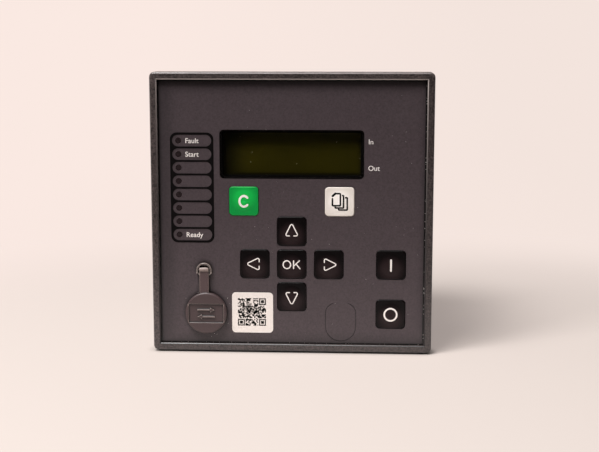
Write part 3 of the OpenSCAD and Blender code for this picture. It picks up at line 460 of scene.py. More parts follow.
# Boards
# Four glass-epoxy boards: rear board, processor board, display board and the display's own board.
# A green solder mask lies over straight copper tracks, which show through as slightly lighter lines.
TRACK_PITCH = 1.27 * MM
TRACK_ROWS = 8
solder_mask, mask_tree, mask_shader = new_finish("solder_mask_on_glass_epoxy", {"Roughness": 0.32})
mask_place = add_node(mask_tree, "TexCoord").outputs["Object"]
tracks = add_node(mask_tree, "TexBrick",
                  {"Scale": 1 / (TRACK_ROWS * TRACK_PITCH), "Mortar Size": 0.03, "Brick Width": 3.0,
                   "Row Height": 1 / TRACK_ROWS, "Color1": linear("#17512d"), "Color2": linear("#1d5c35"),
                   "Mortar": linear("#2b7448")}, {"Vector": mask_place})
feed(mask_shader, {"Base Color": tracks})
dress(solder_mask, "io_board", "cpu_board", "display_board", "lcd_board")

# Parts on the boards
# Potted transformers, the supply module, output relays, storage capacitors, switches, sockets and the cell.
# Cast resin and small mouldings are plain and slightly shiny, so they look smooth and closed.
# The capacitors and the cell wear a shrunk sleeve or wrap, which is glossier than the mouldings.
CAST_MARKS = 2.5 * MM
CAST_DEPTH = 0.02 * MM
SMALL_MARKS = 1.5 * MM
SLEEVE_MARKS = 3 * MM
WRAP_MARKS = 4 * MM
dress(moulded("cast_resin_black", "#1c1f24", "#272b31", CAST_MARKS, CAST_DEPTH, 0.4),
      "current_transformer_1", "current_transformer_2", "current_transformer_3", "earth_fault_transformer",
      "supply_module")
dress(moulded("moulded_polyester_blue", "#23324c", "#2c3d5a", SMALL_MARKS, SKIN_DEPTH, 0.34), "output_relays")
dress(moulded("shrunk_sleeve_blue", "#1d2a44", "#26355a", SLEEVE_MARKS, SKIN_DEPTH, 0.3),
      "storage_capacitors")
dress(moulded("moulded_nylon_cream", "#d3cab4", "#e3dbc7", SMALL_MARKS, SKIN_DEPTH, 0.42),
      "front_link", "rear_link", "port_insert")
dress(moulded("moulded_nylon_black", "#242122", "#312e2f", SMALL_MARKS, SKIN_DEPTH, 0.42),
      "key_switches", "battery_holder")
dress(moulded("printed_cell_wrap", "#6f7c86", "#87949e", WRAP_MARKS, SKIN_DEPTH, 0.32), "battery_cell")
dress(zinc, "port_shell")

# Front bezel
# A square frame moulded in dark grey ABS, with a raised rim around the sunken face and screw bosses behind.
# Its coarse grain sparkles; its crest and inner edge carry painted highlights, and the groove is painted dark
# as shade.
# Painted shade darkens the lower band towards the floor and the right side, and the edge it stands on is a
# painted contact shadow.
BEZEL_GRAIN = 0.72 * MM
BEZEL_GRAIN_DEPTH = 0.05 * MM
GROOVE_FACE = -9.5 * MM
GROOVE_SPAN = 0.2 * MM
CHAMFER_FROM = 68.15 * MM
CHAMFER_TO = 68.75 * MM
CHAMFER_MIDDLE = (CHAMFER_FROM + CHAMFER_TO) / 2
CHAMFER_FRONT = -11.45 * MM
HIGHLIGHT_TOP_BIAS = 4.0
EDGE_ROUGHNESS = 0.45
CREST = 0.8 * MM
LOWER_SHADE_REACH = 7 * MM
LOWER_SHADE_VALUE = 0.72
RIGHT_SHADE_SPAN = 8 * MM
RIGHT_SHADE_VALUE = 0.82
CONTACT_SHADOW_EDGE = 0.5 * MM


def opened(finish):
    """A finish's node tree and shader, and what feeds the shader's colour."""
    shader = finish.node_tree.nodes["Principled BSDF"]
    return finish.node_tree, shader, shader.inputs["Base Color"].links[0].from_socket


def square_reach(tree, axes, aside=0.0):
    """How far a point lies from the front's middle, or from beside it, measured in squares."""
    shifted = add_node(tree, "Math", {"operation": "SUBTRACT", 1: aside}, {0: axes.outputs["X"]})
    across = add_node(tree, "Math", {"operation": "ABSOLUTE"}, {0: shifted})
    upright = add_node(tree, "Math", {"operation": "ABSOLUTE"}, {0: axes.outputs["Z"]})
    return add_node(tree, "Math", {"operation": "MAXIMUM"}, {0: across, 1: upright})


bezel_abs = moulded("moulded_abs_bezel", "#080505", "#5f5351", BEZEL_GRAIN, BEZEL_GRAIN_DEPTH, 0.36,
                    contrast=2.4)
bezel_tree, bezel_shader, plain_shade = opened(bezel_abs)
plain_sheen = bezel_shader.inputs["Roughness"].links[0].from_socket
bezel_axes = add_node(bezel_tree, "SeparateXYZ",
                      links={"Vector": add_node(bezel_tree, "TexCoord").outputs["Object"]})
bezel_reach = square_reach(bezel_tree, bezel_axes)
near_edge = add_node(bezel_tree, "Math",
                     {"operation": "COMPARE", 1: CHAMFER_MIDDLE, 2: (CHAMFER_TO - CHAMFER_FROM) / 2},
                     {0: bezel_reach})
at_front = add_node(bezel_tree, "Math", {"operation": "LESS_THAN", 1: CHAMFER_FRONT},
                    {0: bezel_axes.outputs["Y"]})
# Painted highlight on the inner chamfer: pale on top and darker towards the bottom, as the light falls from
# above.
front_chamfer = add_node(bezel_tree, "Math", {"operation": "MULTIPLY"}, {0: near_edge, 1: at_front})
upper = add_node(bezel_tree, "MapRange", {"From Min": -CHAMFER_TO, "From Max": CHAMFER_TO},
                 {"Value": bezel_axes.outputs["Z"]})
highlight_on_top = add_node(bezel_tree, "Math", {"operation": "POWER", 1: HIGHLIGHT_TOP_BIAS}, {0: upper})
chamfer_highlight_tone = add_node(bezel_tree, "Mix", {"data_type": "RGBA", 6: linear("#241d1d"), 7: linear("#b3a7a2")},
                       {0: highlight_on_top})
chamfer_highlight_shade = add_node(bezel_tree, "Mix", {"data_type": "RGBA"}, {0: front_chamfer, 6: plain_shade, 7: chamfer_highlight_tone})
# Painted shade: the groove is drawn nearly black.
in_groove = add_node(bezel_tree, "Math", {"operation": "COMPARE", 1: GROOVE_FACE, 2: GROOVE_SPAN},
                     {0: bezel_axes.outputs["Y"]})
groove_shade = add_node(bezel_tree, "Mix", {"data_type": "RGBA", 7: linear("#0b0606")},
                        {0: in_groove, 6: chamfer_highlight_shade})
# Painted highlight along the front of the upper crest.
at_crest = add_node(bezel_tree, "Math", {"operation": "GREATER_THAN", 1: cad_box[1].z - CREST},
                    {0: bezel_axes.outputs["Z"]})
front_crest = add_node(bezel_tree, "Math", {"operation": "MULTIPLY"}, {0: at_crest, 1: at_front})
crest_highlight_shade = add_node(bezel_tree, "Mix", {"data_type": "RGBA", 7: linear("#6e6361")},
                       {0: front_crest, 6: groove_shade})
# Painted shade: darker towards the floor and towards the right side.
lower_shade = add_node(bezel_tree, "MapRange",
                {"From Min": cad_box[0].z, "From Max": cad_box[0].z + LOWER_SHADE_REACH, "To Min": LOWER_SHADE_VALUE},
                {"Value": bezel_axes.outputs["Z"]})
right_shade = add_node(bezel_tree, "MapRange",
                     {"From Min": cad_box[1].x - RIGHT_SHADE_SPAN, "From Max": cad_box[1].x - RIGHT_SHADE_SPAN / 2,
                      "To Min": 1.0, "To Max": RIGHT_SHADE_VALUE}, {"Value": bezel_axes.outputs["X"]})
lower_and_right_shade = add_node(bezel_tree, "Math", {"operation": "MULTIPLY"}, {0: lower_shade, 1: right_shade})
shade_painted_bezel = add_node(bezel_tree, "HueSaturation", links={"Color": crest_highlight_shade, "Value": lower_and_right_shade})
# Painted contact shadow: the edge it stands on is drawn black.
on_floor = add_node(bezel_tree, "Math", {"operation": "LESS_THAN", 1: cad_box[0].z + CONTACT_SHADOW_EDGE},
                    {0: bezel_axes.outputs["Z"]})
contact_shadow_shade = add_node(bezel_tree, "Mix", {"data_type": "RGBA", 7: linear("#020101")},
                       {0: on_floor, 6: shade_painted_bezel})
outer_half = add_node(bezel_tree, "Math", {"operation": "GREATER_THAN", 1: CHAMFER_MIDDLE}, {0: bezel_reach})
grained_edge = add_node(bezel_tree, "Math", {"operation": "MULTIPLY"}, {0: outer_half, 1: front_chamfer})
bezel_sheen = add_node(bezel_tree, "Math", {"operation": "MULTIPLY_ADD", 1: EDGE_ROUGHNESS},
                       {0: grained_edge, 2: plain_sheen})
feed(bezel_shader, {"Base Color": contact_shadow_shade, "Roughness": bezel_sheen})
dress(bezel_abs, "front_bezel")

# Panel gasket
# A flat ring die cut from closed-cell rubber, lying behind the bezel against the panel.
# Its cut cells make it dull and slightly rough.
CELLS = 0.5 * MM
CELL_DEPTH = 0.06 * MM
dress(moulded("closed_cell_rubber", "#1d1a1b", "#2b2728", CELLS, CELL_DEPTH, 0.85, ior=1.5), "panel_gasket")

# Front film
# A polyester film printed from behind, with a fine matt front and a die-cut flap, stuck on the sunken face.
# The matt texture spreads highlights widely, and is drawn coarser than the real one so that it shows.
# Painted shade darkens it towards the rim, in the corners beside other pieces and along its cut edge.
MATT_TEXTURE = 0.8 * MM
MATT_DEPTH = 0.015 * MM
STAINS = 28 * MM
CUT_EDGE = 0.3 * MM
RIM_SHADE_REACH = 8 * MM
RIM_SHADE_ASIDE = 3 * MM
RIM_SHADE_VALUE = 0.68
CORNER_SHADE_REACH = 2.4 * MM
CORNER_SHADE_FROM = 0.97
CORNER_SHADE_TO = 0.45
CORNER_SHADE_COVER = 0.85
film_low, film_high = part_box("front_overlay")
film_matt, film_tree, film_shader = new_finish("matt_polyester_film", {"IOR": 1.6, "Specular IOR Level": 0.4})
film_place = add_node(film_tree, "TexCoord").outputs["Object"]
matt = add_node(film_tree, "TexNoise", {"Scale": 1 / MATT_TEXTURE, "Detail": 4.0, "Roughness": 0.65},
                {"Vector": film_place})
stain = add_node(film_tree, "TexNoise", {"Scale": 1 / STAINS, "Detail": 3.0}, {"Vector": film_place})
film_shade = add_node(film_tree, "Mix", {"data_type": "RGBA", 6: linear("#251c1f"), 7: linear("#56494c")},
                      {0: matt})
film_sheen = add_node(film_tree, "MapRange", {"To Min": 0.42, "To Max": 0.55}, {"Value": stain})
film_bump = add_node(film_tree, "Bump", {"Strength": 0.35, "Distance": MATT_DEPTH}, {"Height": matt})
film_axes = add_node(film_tree, "SeparateXYZ", links={"Vector": film_place})
# Painted shade: the film darkens towards the rim.
rim_reach = square_reach(film_tree, film_axes, RIM_SHADE_ASIDE)
from_edge = add_node(film_tree, "Math", {"operation": "SUBTRACT", 0: film_high.x}, {1: rim_reach})
rim_shade = add_node(film_tree, "MapRange",
                 {"From Max": RIM_SHADE_REACH, "To Min": RIM_SHADE_VALUE, "interpolation_type": "SMOOTHSTEP"},
                 {"Value": from_edge})
rim_shaded_film = add_node(film_tree, "HueSaturation", links={"Color": film_shade, "Value": rim_shade})
# Painted shade in the corners beside other pieces, from ambient occlusion.
film_corner = add_node(film_tree, "AmbientOcclusion", {"samples": 8, "Distance": CORNER_SHADE_REACH})
film_corner_shade = add_node(film_tree, "MapRange", {"From Min": CORNER_SHADE_FROM, "From Max": CORNER_SHADE_TO, "To Max": CORNER_SHADE_COVER},
                 {"Value": film_corner.outputs["AO"]})
film_corner_shaded = add_node(film_tree, "Mix", {"data_type": "RGBA", 7: linear("#0b0606")},
                       {0: film_corner_shade, 6: rim_shaded_film})
# Painted shade: the outermost strip of the film is drawn dark, as shade in the groove.
cut_edge = add_node(film_tree, "Math", {"operation": "GREATER_THAN", 1: film_high.x - CUT_EDGE},
                    {0: square_reach(film_tree, film_axes)})
edged_shade = add_node(film_tree, "Mix", {"data_type": "RGBA", 7: linear("#0b0606")},
                       {0: cut_edge, 6: film_corner_shaded})
feed(film_shader, {"Base Color": edged_shade, "Roughness": film_sheen, "Normal": film_bump})
dress(film_matt, "front_overlay")

# Print on the film
# A black field with eight label places, and short white captions beside the indicators and the display.
# The field's ink is thin and dull, so it stays blacker than the film; the captions are plain state words.
CAPTION_HEIGHT = 2.5 * MM
CAPTION_WEIGHT = 0.03 * MM
CAPTION_X = -54.4 * MM
LED_TOP = 37.3 * MM
LED_PITCH = 6.92 * MM
SIDE_CAPTION_X = 38.8 * MM
SIDE_CAPTIONS = (("In", 37.1 * MM), ("Out", 23.7 * MM))
field_ink = printed_ink("screen_ink_field", "#070404", gloss=0.1)
dress(field_ink, "led_label_field")
captions = []
for row, words in ((0, "Fault"), (1, "Start"), (7, "Ready")):
    spot = (CAPTION_X, film_low.y, LED_TOP - row * LED_PITCH)
    captions.append(lettering(words, CAPTION_HEIGHT, spot, align="LEFT", weight=CAPTION_WEIGHT))
for words, rise in SIDE_CAPTIONS:
    spot = (SIDE_CAPTION_X, film_low.y, rise)
    captions.append(lettering(words, CAPTION_HEIGHT, spot, align="LEFT", weight=CAPTION_WEIGHT / 2))
fit_on("film_captions", joined(captions, "film_captions"), white_ink, "relay")

# Display
# A two-line display module in a pressed black frame, behind a clear window set into the film.
# The unlit glass is dark olive, with painted shade towards its frame on every side, so that it looks sunken.
# The window is polycarbonate with a black printed border.
BORDER = 1.3 * MM
BORDER_SHARE = 0.96
BORDER_CORNER = 1.5 * MM
COAT_HAZE = 6 * MM
OLIVE_HAZE = 22 * MM
SHADE_LEFT = 16 * MM
SHADE_RIGHT = 4 * MM
SHADE_HEAD = 12 * MM
HEAD_SHADE_VALUE = 0.75
FOOT_SHADE_FULL = 2 * MM
SHADE_FOOT = 3.2 * MM
PRESS_MARKS = 1.2 * MM
PRESS_DEPTH = 0.005 * MM
window_low, window_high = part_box("display_window")

# Hard-coated polycarbonate: clear, with a faint haze that softens its reflections.
window_coat, coat_tree, coat_shader = new_finish(
    "hard_coated_polycarbonate", {"Base Color": linear("#060503"), "IOR": 1.5, "Alpha": 0.12,
                                  "Specular IOR Level": 0.18})
coat_place = add_node(coat_tree, "TexCoord").outputs["Object"]
coat_haze = add_node(coat_tree, "TexNoise", {"Scale": 1 / COAT_HAZE, "Detail": 3.0}, {"Vector": coat_place})
coat_sheen = add_node(coat_tree, "MapRange", {"To Min": 0.2, "To Max": 0.3}, {"Value": coat_haze})
feed(coat_shader, {"Roughness": coat_sheen})
dress(window_coat, "display_window")

# Display glass over its polariser: a deep olive with slow unevenness.
lcd_olive, olive_tree, olive_shader = new_finish(
    "unlit_display_glass", {"Roughness": 0.35, "IOR": 1.5, "Specular IOR Level": 0.3})
olive_place = add_node(olive_tree, "TexCoord").outputs["Object"]
olive_axes = add_node(olive_tree, "SeparateXYZ", links={"Vector": olive_place})
olive_haze = add_node(olive_tree, "TexNoise", {"Scale": 1 / OLIVE_HAZE, "Detail": 2.0},
                      {"Vector": olive_place})
olive_shade = add_node(olive_tree, "Mix", {"data_type": "RGBA", 6: linear("#2c2700"), 7: linear("#393400")},
                       {0: olive_haze})
# Painted shade: the olive darkens towards the frame's left, right and lower sides and from the top.
painted_shades = (("X", window_low.x + BORDER, window_low.x + SHADE_LEFT, 0.0),
         ("X", window_high.x, window_high.x - SHADE_RIGHT, 0.0),
         ("Z", window_high.z - BORDER, window_high.z - SHADE_HEAD, HEAD_SHADE_VALUE),
         ("Z", window_low.z + FOOT_SHADE_FULL, window_low.z + SHADE_FOOT, 0.0))
sides = [add_node(olive_tree, "MapRange", {"From Min": deep_at, "From Max": full_at, "To Min": least,
                                           "interpolation_type": "SMOOTHSTEP"},
                  {"Value": olive_axes.outputs[axis]}) for axis, deep_at, full_at, least in painted_shades]
olive_shade_factor = sides[0]
for side in sides[1:]:
    olive_shade_factor = add_node(olive_tree, "Math", {"operation": "MULTIPLY"}, {0: olive_shade_factor, 1: side})
shaded_olive = add_node(olive_tree, "Mix", {"data_type": "RGBA", 6: linear("#151100")},
                      {0: olive_shade_factor, 7: olive_shade})
feed(olive_shader, {"Base Color": shaded_olive})
dress(lcd_olive, "lcd_glass")

# Blackened pressed steel: nearly without gloss, so the frame disappears beside the glass.
dress(moulded("blackened_pressed_steel", "#050404", "#0a0808", PRESS_MARKS, PRESS_DEPTH, 0.65, ior=1.5,
              gloss=0.12), "lcd_frame")
window_size = window_high - window_low
window_mid = (window_low + window_high) / 2
border_path = rounded(rectangle(window_size.x - BORDER, window_size.z - BORDER), BORDER_CORNER, closed=True)
border = laid("window_border", [stroke(border_path, BORDER * BORDER_SHARE, closed=True)],
              lambda x, z: (window_mid.x + x, window_high.y + INK, window_mid.z + z))
fit_on("window_border", border, field_ink, "relay")

# Indicators
# Eight light guides of smoked polycarbonate, pressed through the plate, flush with the film.
# The tool was polished, so unlit they look like dark glossy dots.
LENS_MARKS = 1.2 * MM
LENS_DEPTH = 0.004 * MM
dress(moulded("smoked_polycarbonate", "#1f1718", "#2c2324", LENS_MARKS, LENS_DEPTH, 0.25, ior=1.58),
      *[f"led_lens_{i}" for i in range(1, 9)])

# Keys
# Nine short-travel keys moulded in silicone-coated ABS, domed in the middle, each with a printed legend.
# The coat is satin: the black keys are deep, one key is green and one off-white.
# Each carries a paler patch as a painted highlight, low on the black keys and high on the green one.
KEY_GRAIN = 0.9 * MM
KEY_GRAIN_DEPTH = 0.006 * MM
DOME_SPHERE = 56.2 * MM
DOME_HEIGHT = 0.3 * MM
KEY_SPAN = 16.6 * MM
HIGHLIGHT_REACH = 8.4 * MM
PATH_STEP = 0.35 * MM
ROUND_CAP = 14
ARROW_LINE = 0.56 * MM
SHEET_LINE = 0.86 * MM
FOLD_LINE = 1.15 * MM
REAR_SHEET_LINE = 0.84 * MM
LETTER_LINE = 0.6 * MM
LEG_LINE = 0.58 * MM
CLEAR_LINE = 1.12 * MM
ON_LINE = 0.95 * MM
OFF_LINE = 0.88 * MM


def fine(path, closed=False):
    """The same path with short steps, so that it can follow a dome."""
    legs = list(zip(path, path[1:] + path[:1] if closed else path[1:]))
    points = []
    for here, after in legs:
        count = max(1, math.ceil((after - here).length / PATH_STEP))
        points += [here.lerp(after, k / count) for k in range(count)]
    return points if closed else points + [path[-1]]


def pen(path, width, closed=False):
    """Drawn line with round ends."""
    shapes = [stroke(fine(path, closed), width, closed)]
    for end in () if closed else (path[0], path[-1]):
        shapes.append(outline(arc(end, width / 2, width / 2, 0, 360, ROUND_CAP)[:-1]))
    return shapes


def arrow(turn):
    """Open triangle that points up, turned by degrees."""
    corners = spot_list((1.15, -2.27), (3.35, -2.27), (0, 4.5), (-3.35, -2.27), (-1.15, -2.27))
    path = rounded(corners, 0.7 * MM)
    return pen([Matrix.Rotation(math.radians(turn), 2) @ point for point in path], ARROW_LINE)


def page_sheets():
    """Three stacked sheets, the first with its corner folded."""
    first = spot_list((-3.7, 1.6), (-3.7, -1.95), (0.35, -1.95), (0.35, 4.25), (-2.2, 4.25))
    fold = spot_list((-2.2, 4.25), (-3.6, 3.0))
    second = spot_list((1.5, 3.3), (1.95, 3.3), (1.95, -3.1), (-2.3, -3.1), (-2.3, -2.7))
    third = spot_list((3.0, 2.2), (3.85, 2.2), (3.85, -4.15), (-0.5, -4.15), (-0.5, -3.8))
    shapes = pen(rounded(first, 0.35 * MM), SHEET_LINE) + pen(fold, FOLD_LINE)
    for sheet in (second, third):
        shapes += pen(rounded(sheet, 0.3 * MM), REAR_SHEET_LINE)
    return shapes


def ok_word():
    """The two letters of the confirm key."""
    ring = arc(Vector((-2.48, -0.2)) * MM, 1.93 * MM, 2.06 * MM, 0, 360)[:-1]
    upright = spot_list((0.97, -2.25), (0.97, 1.85))
    upper = spot_list((1.2, -0.75), (4.0, 1.9))
    lower = spot_list((2.2, 0.3), (4.2, -2.25))
    shapes = pen(ring, LETTER_LINE, True) + pen(upright, LETTER_LINE)
    return shapes + pen(upper, LEG_LINE) + pen(lower, LEG_LINE)


def key_highlight(finish, pale, rise=0.5):
    """Adds a paler patch, a painted highlight, centred at a share of a key's height."""
    tree, shader, clean = opened(finish)
    spread = add_node(tree, "TexCoord").outputs["Generated"]
    flat = add_node(tree, "VectorMath", {"operation": "MULTIPLY", 1: (KEY_SPAN, 0, KEY_SPAN)}, {0: spread})
    off_middle = add_node(tree, "VectorMath",
                          {"operation": "DISTANCE", 1: (KEY_SPAN / 2, 0, KEY_SPAN * rise)}, {0: flat})
    patch = add_node(tree, "MapRange",
                     {"From Min": HIGHLIGHT_REACH, "From Max": HIGHLIGHT_REACH / 3,
                      "interpolation_type": "SMOOTHSTEP"}, {"Value": off_middle})
    shade = add_node(tree, "Mix", {"data_type": "RGBA", 7: linear(pale)}, {0: patch, 6: clean})
    feed(shader, {"Base Color": shade})


clear_arc = arc(Vector((0.1, 0)) * MM, 2.3 * MM, 2.75 * MM, 42, 318)
open_ring = arc(Vector((0, -0.2)) * MM, 3.2 * MM, 3.2 * MM, 0, 360, 64)[:-1]
legends = {
    "key_clear": pen(clear_arc, CLEAR_LINE),
    "key_page": page_sheets(),
    "key_up": arrow(0),
    "key_left": arrow(90),
    "key_ok": ok_word(),
    "key_right": arrow(-90),
    "key_down": arrow(180),
    "key_on": pen(spot_list((0, -3.0), (0, 2.6)), ON_LINE),
    "key_off": pen(open_ring, OFF_LINE, True),
}
satin_black = moulded("satin_keycap_black", "#050303", "#0b0607", KEY_GRAIN, KEY_GRAIN_DEPTH, 0.34,
                      ior=1.5, gloss=0.15)
satin_green = moulded("satin_keycap_green", "#048639", "#07963f", KEY_GRAIN, KEY_GRAIN_DEPTH, 0.42,
                      ior=1.5, gloss=0.3)
satin_white = moulded("satin_keycap_white", "#dfd4ca", "#ebe0d7", KEY_GRAIN, KEY_GRAIN_DEPTH, 0.42,
                      ior=1.5, gloss=0.3)
# Painted highlights: a paler patch on each key.
key_highlight(satin_black, "#271c1d", rise=0.36)
key_highlight(satin_green, "#12ae47", rise=0.62)
key_highlight(satin_white, "#faf1ea")
key_finish = {"key_clear": satin_green, "key_page": satin_white}
for key, shapes in legends.items():
    dress(key_finish.get(key, satin_black), key)
    key_low, key_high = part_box(key)
    key_mid = (key_low + key_high) / 2

    def dome(x, z):
        """Place of a flat point on the key's domed front."""
        sink = min(DOME_HEIGHT, (x * x + z * z) / (2 * DOME_SPHERE))
        return key_mid.x + x, key_low.y + sink - INK / 4, key_mid.z + z

    ink = black_ink if key == "key_page" else white_ink
    fit_on("legend_" + key, laid("legend_" + key, shapes, dome), ink, key)

# Service port cover
# A rubber cap and its strap, moulded in one piece, whose loop turns on the bar of a small snapped-in anchor.
# The dull rubber is rounded at its edges, with painted highlights along them, painted shade in its corners
# and a strap painted lighter above the cap.
# The anchor is nylon, harder and shinier, with the same painted highlights and shade.
RUBBER_GRAIN = 0.7 * MM
RUBBER_GRAIN_DEPTH = 0.03 * MM
RUBBER_SHADE_REACH = 1.4 * MM
RUBBER_EDGE = 0.3 * MM
ANCHOR_GRAIN_DEPTH = 0.02 * MM
ANCHOR_SHADE_REACH = 1.2 * MM
ANCHOR_EDGE = 0.22 * MM
WORN_ROUND = 0.9 * MM
EDGE_LIGHT_SHARE = 0.6
STRAP_FOOT = 1.5 * MM
STRAP_LIGHT_VALUE = 1.3


def shade_and_highlight(finish, deep, pale, reach):
    """Adds painted shade in a moulding's inner corners, a painted highlight along its outer edges, and rounds
    them.
    """
    tree, shader, clean = opened(finish)
    corner = add_node(tree, "AmbientOcclusion", {"samples": 12, "Distance": reach})
    edge = add_node(tree, "AmbientOcclusion", {"samples": 12, "inside": True, "Distance": EDGE_LIGHT_SHARE * reach})
    bare = add_node(tree, "MapRange", {"From Min": 0.75, "From Max": 0.35}, {"Value": edge.outputs["AO"]})
    held = add_node(tree, "MapRange", {"From Min": 0.92, "From Max": 0.6}, {"Value": corner.outputs["AO"]})
    edge_lit = add_node(tree, "Mix", {"data_type": "RGBA", 7: linear(pale)}, {0: bare, 6: clean})
    corner_shaded = add_node(tree, "Mix", {"data_type": "RGBA", 7: linear(deep)}, {0: held, 6: edge_lit})
    worn_round = add_node(tree, "Bevel", {"samples": 8, "Radius": WORN_ROUND})
    feed(shader.inputs["Normal"].links[0].from_node, {"Normal": worn_round})
    feed(shader, {"Base Color": corner_shaded})


port_rubber = moulded("moulded_rubber_grey", "#3d2e2e", "#493939", RUBBER_GRAIN, RUBBER_GRAIN_DEPTH, 0.5,
                      ior=1.5)
anchor_nylon = moulded("moulded_nylon_grey", "#524744", "#60544f", RUBBER_GRAIN, ANCHOR_GRAIN_DEPTH, 0.24)
# Painted shade in the corners and painted highlights along the edges of the cap and the anchor.
shade_and_highlight(port_rubber, "#060303", "#8f7f78", RUBBER_SHADE_REACH)
shade_and_highlight(anchor_nylon, "#0a0505", "#b8aaa3", ANCHOR_SHADE_REACH)
cap_low, cap_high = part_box("port_cover")
cap_reach = (cap_high.x - cap_low.x) / 2
cap_top = cap_low.z + 2 * cap_reach
rubber_tree, rubber_shader, rubber_shade = opened(port_rubber)
rubber_axes = add_node(rubber_tree, "SeparateXYZ",
                       links={"Vector": add_node(rubber_tree, "TexCoord").outputs["Object"]})
# Painted light: the strap above the cap is drawn lighter.
strap_light = add_node(rubber_tree, "MapRange",
                     {"From Min": cap_top - STRAP_FOOT, "From Max": cap_top + STRAP_FOOT, "To Min": 1.0,
                      "To Max": STRAP_LIGHT_VALUE}, {"Value": rubber_axes.outputs["Z"]})
lit_strap_shade = add_node(rubber_tree, "HueSaturation", links={"Color": rubber_shade, "Value": strap_light})
feed(rubber_shader, {"Base Color": lit_strap_shade})
dress(port_rubber, "port_cover")
dress(anchor_nylon, "port_anchor")
soften(RUBBER_EDGE, "port_cover")
soften(ANCHOR_EDGE, "port_anchor")

# Code label
# A white polyester label stuck on the film, with a made-up pattern of square modules in black print.
# Its paper-white coat is matt and smooth, and the ink spreads a little, so that neighbours run together.
MODULES = 29
MODULE = 0.5 * MM
FINDER = 7
BLACK_SHARE = 0.53
JOINED_SHARE = 0.2
INK_SPREAD = 0.08 * MM
CODE_SHIFT = Vector((-0.35, 0, 0.3)) * MM
CODE_SEED = 172
COAT_MARKS = 1.4 * MM
COAT_DEPTH = 0.003 * MM
dress(moulded("coated_white_label", "#e4d9d2", "#efe5de", COAT_MARKS, COAT_DEPTH, 0.5, ior=1.5), "code_label")
label_low, label_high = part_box("code_label")
label_mid = (label_low + label_high) / 2 + CODE_SHIFT
draw = random.Random(CODE_SEED)
finders = [(0, 0), (MODULES - FINDER, 0), (MODULES - FINDER, MODULES - FINDER)]


def in_finder(column, row):
    """Whether a module belongs to a corner mark or its white border, and whether it is black there."""
    for left, low in finders:
        across, up = column - left, row - low
        if -1 <= across <= FINDER and -1 <= up <= FINDER:
            edge = min(across, up, FINDER - 1 - across, FINDER - 1 - up)
            return True, edge == 0 or edge >= 2
    return False, False


modules = []
tones = {}
for column in range(MODULES):
    for row in range(MODULES):
        marked, black = in_finder(column, row)
        chance = draw.random() < BLACK_SHARE
        mate = draw.choice(((column - 1, row), (column, row - 1)))
        if draw.random() < JOINED_SHARE:
            chance = tones.get(mate, chance)
        tones[column, row] = chance
        if black if marked else chance:
            middle = Vector((column - (MODULES - 1) / 2, row - (MODULES - 1) / 2)) * MODULE
            modules.append(outline(rectangle(MODULE + INK_SPREAD, MODULE + INK_SPREAD, middle)))
code = laid("code_modules", modules, lambda x, z: (label_mid.x + x, label_low.y, label_mid.z + z))
fit_on("code_modules", code, black_ink, "relay")

# Lint
# Fine pale dust and fibre ends that lie on the matt film and gather in the groove along the rim.
# Each speck is a flat ragged fleck of a tenth to three quarters of a millimetre, dull and nearly white.
SPECKS_ON_FILM = 70
FILM_SPECK = (0.12 * MM, 0.32 * MM)
FILM_REACH = 66 * MM
LINT_LEFT = -0.4
SPECKS_IN_GROOVE = 60
GROOVE_SPECK = (0.3 * MM, 0.75 * MM)
GROOVE_REACH = 67.95 * MM
SIDE_SHARE = 0.6
SPECKS_BY_CAP = 12
CAP_SPECK = (0.15 * MM, 0.45 * MM)
CAP_RING = (1.03, 1.25)
CAP_TURNS = (-0.45, 1.0)
LINT_CLEAR = 0.5 * MM
LINT_SEED = 7
FLECK_SIDES = 6
FLECK_RAGGED = (0.45, 1.0)
FLECK_RISE = 1 / 5
FLECK_SINK = 1 / 8
lint_finish = printed_ink("pale_lint", "#efe6e2")
lint_free = [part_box(name) for name in (*legends, "code_label")]
lint = bmesh.new()
draw = random.Random(LINT_SEED)


def speck(x, y, z, size):
    """Flat ragged fleck with its middle at a place, unless a key or the label is there."""
    for low, high in lint_free:
        beside = low.x - LINT_CLEAR < x < high.x + LINT_CLEAR
        if beside and low.z - LINT_CLEAR < z < high.z + LINT_CLEAR:
            return
    corners = []
    for step in range(FLECK_SIDES):
        turn = 2 * math.pi * step / FLECK_SIDES
        r = size * draw.uniform(*FLECK_RAGGED) / 2
        corners.append(lint.verts.new((x + r * math.cos(turn), y, z + r * math.sin(turn))))
    tip = lint.verts.new((x, y - size * FLECK_RISE, z))
    foot = lint.verts.new((x, y + size * FLECK_SINK, z))
    for a, b in zip(corners, corners[1:] + corners[:1]):
        lint.faces.new((a, b, tip))
        lint.faces.new((b, a, foot))


for _ in range(SPECKS_ON_FILM):
    size = draw.uniform(*FILM_SPECK)
    x = draw.uniform(LINT_LEFT, 1) * FILM_REACH
    z = draw.uniform(-1, 1) * FILM_REACH
    on_window = window_low.x < x < window_high.x and window_low.z < z < window_high.z
    speck(x, window_low.y if on_window else film_low.y, z, size)
for _ in range(SPECKS_IN_GROOVE):
    size = draw.uniform(*GROOVE_SPECK)
    along = draw.uniform(-1, 1) * FILM_REACH
    x, z = (GROOVE_REACH, along) if draw.random() < SIDE_SHARE else (along, -GROOVE_REACH)
    speck(x, film_high.y, z, size)
for _ in range(SPECKS_BY_CAP):
    turn = draw.uniform(*CAP_TURNS) * math.pi
    away = cap_reach * draw.uniform(*CAP_RING)
    size = draw.uniform(*CAP_SPECK)
    speck((cap_low.x + cap_high.x) / 2 + away * math.cos(turn), film_low.y,
          cap_low.z + cap_reach + away * math.sin(turn), size)
lint_mesh = bpy.data.meshes.new("lint")
lint.to_mesh(lint_mesh)
lint.free()
fit_on("lint", lint_mesh, lint_finish, "relay")

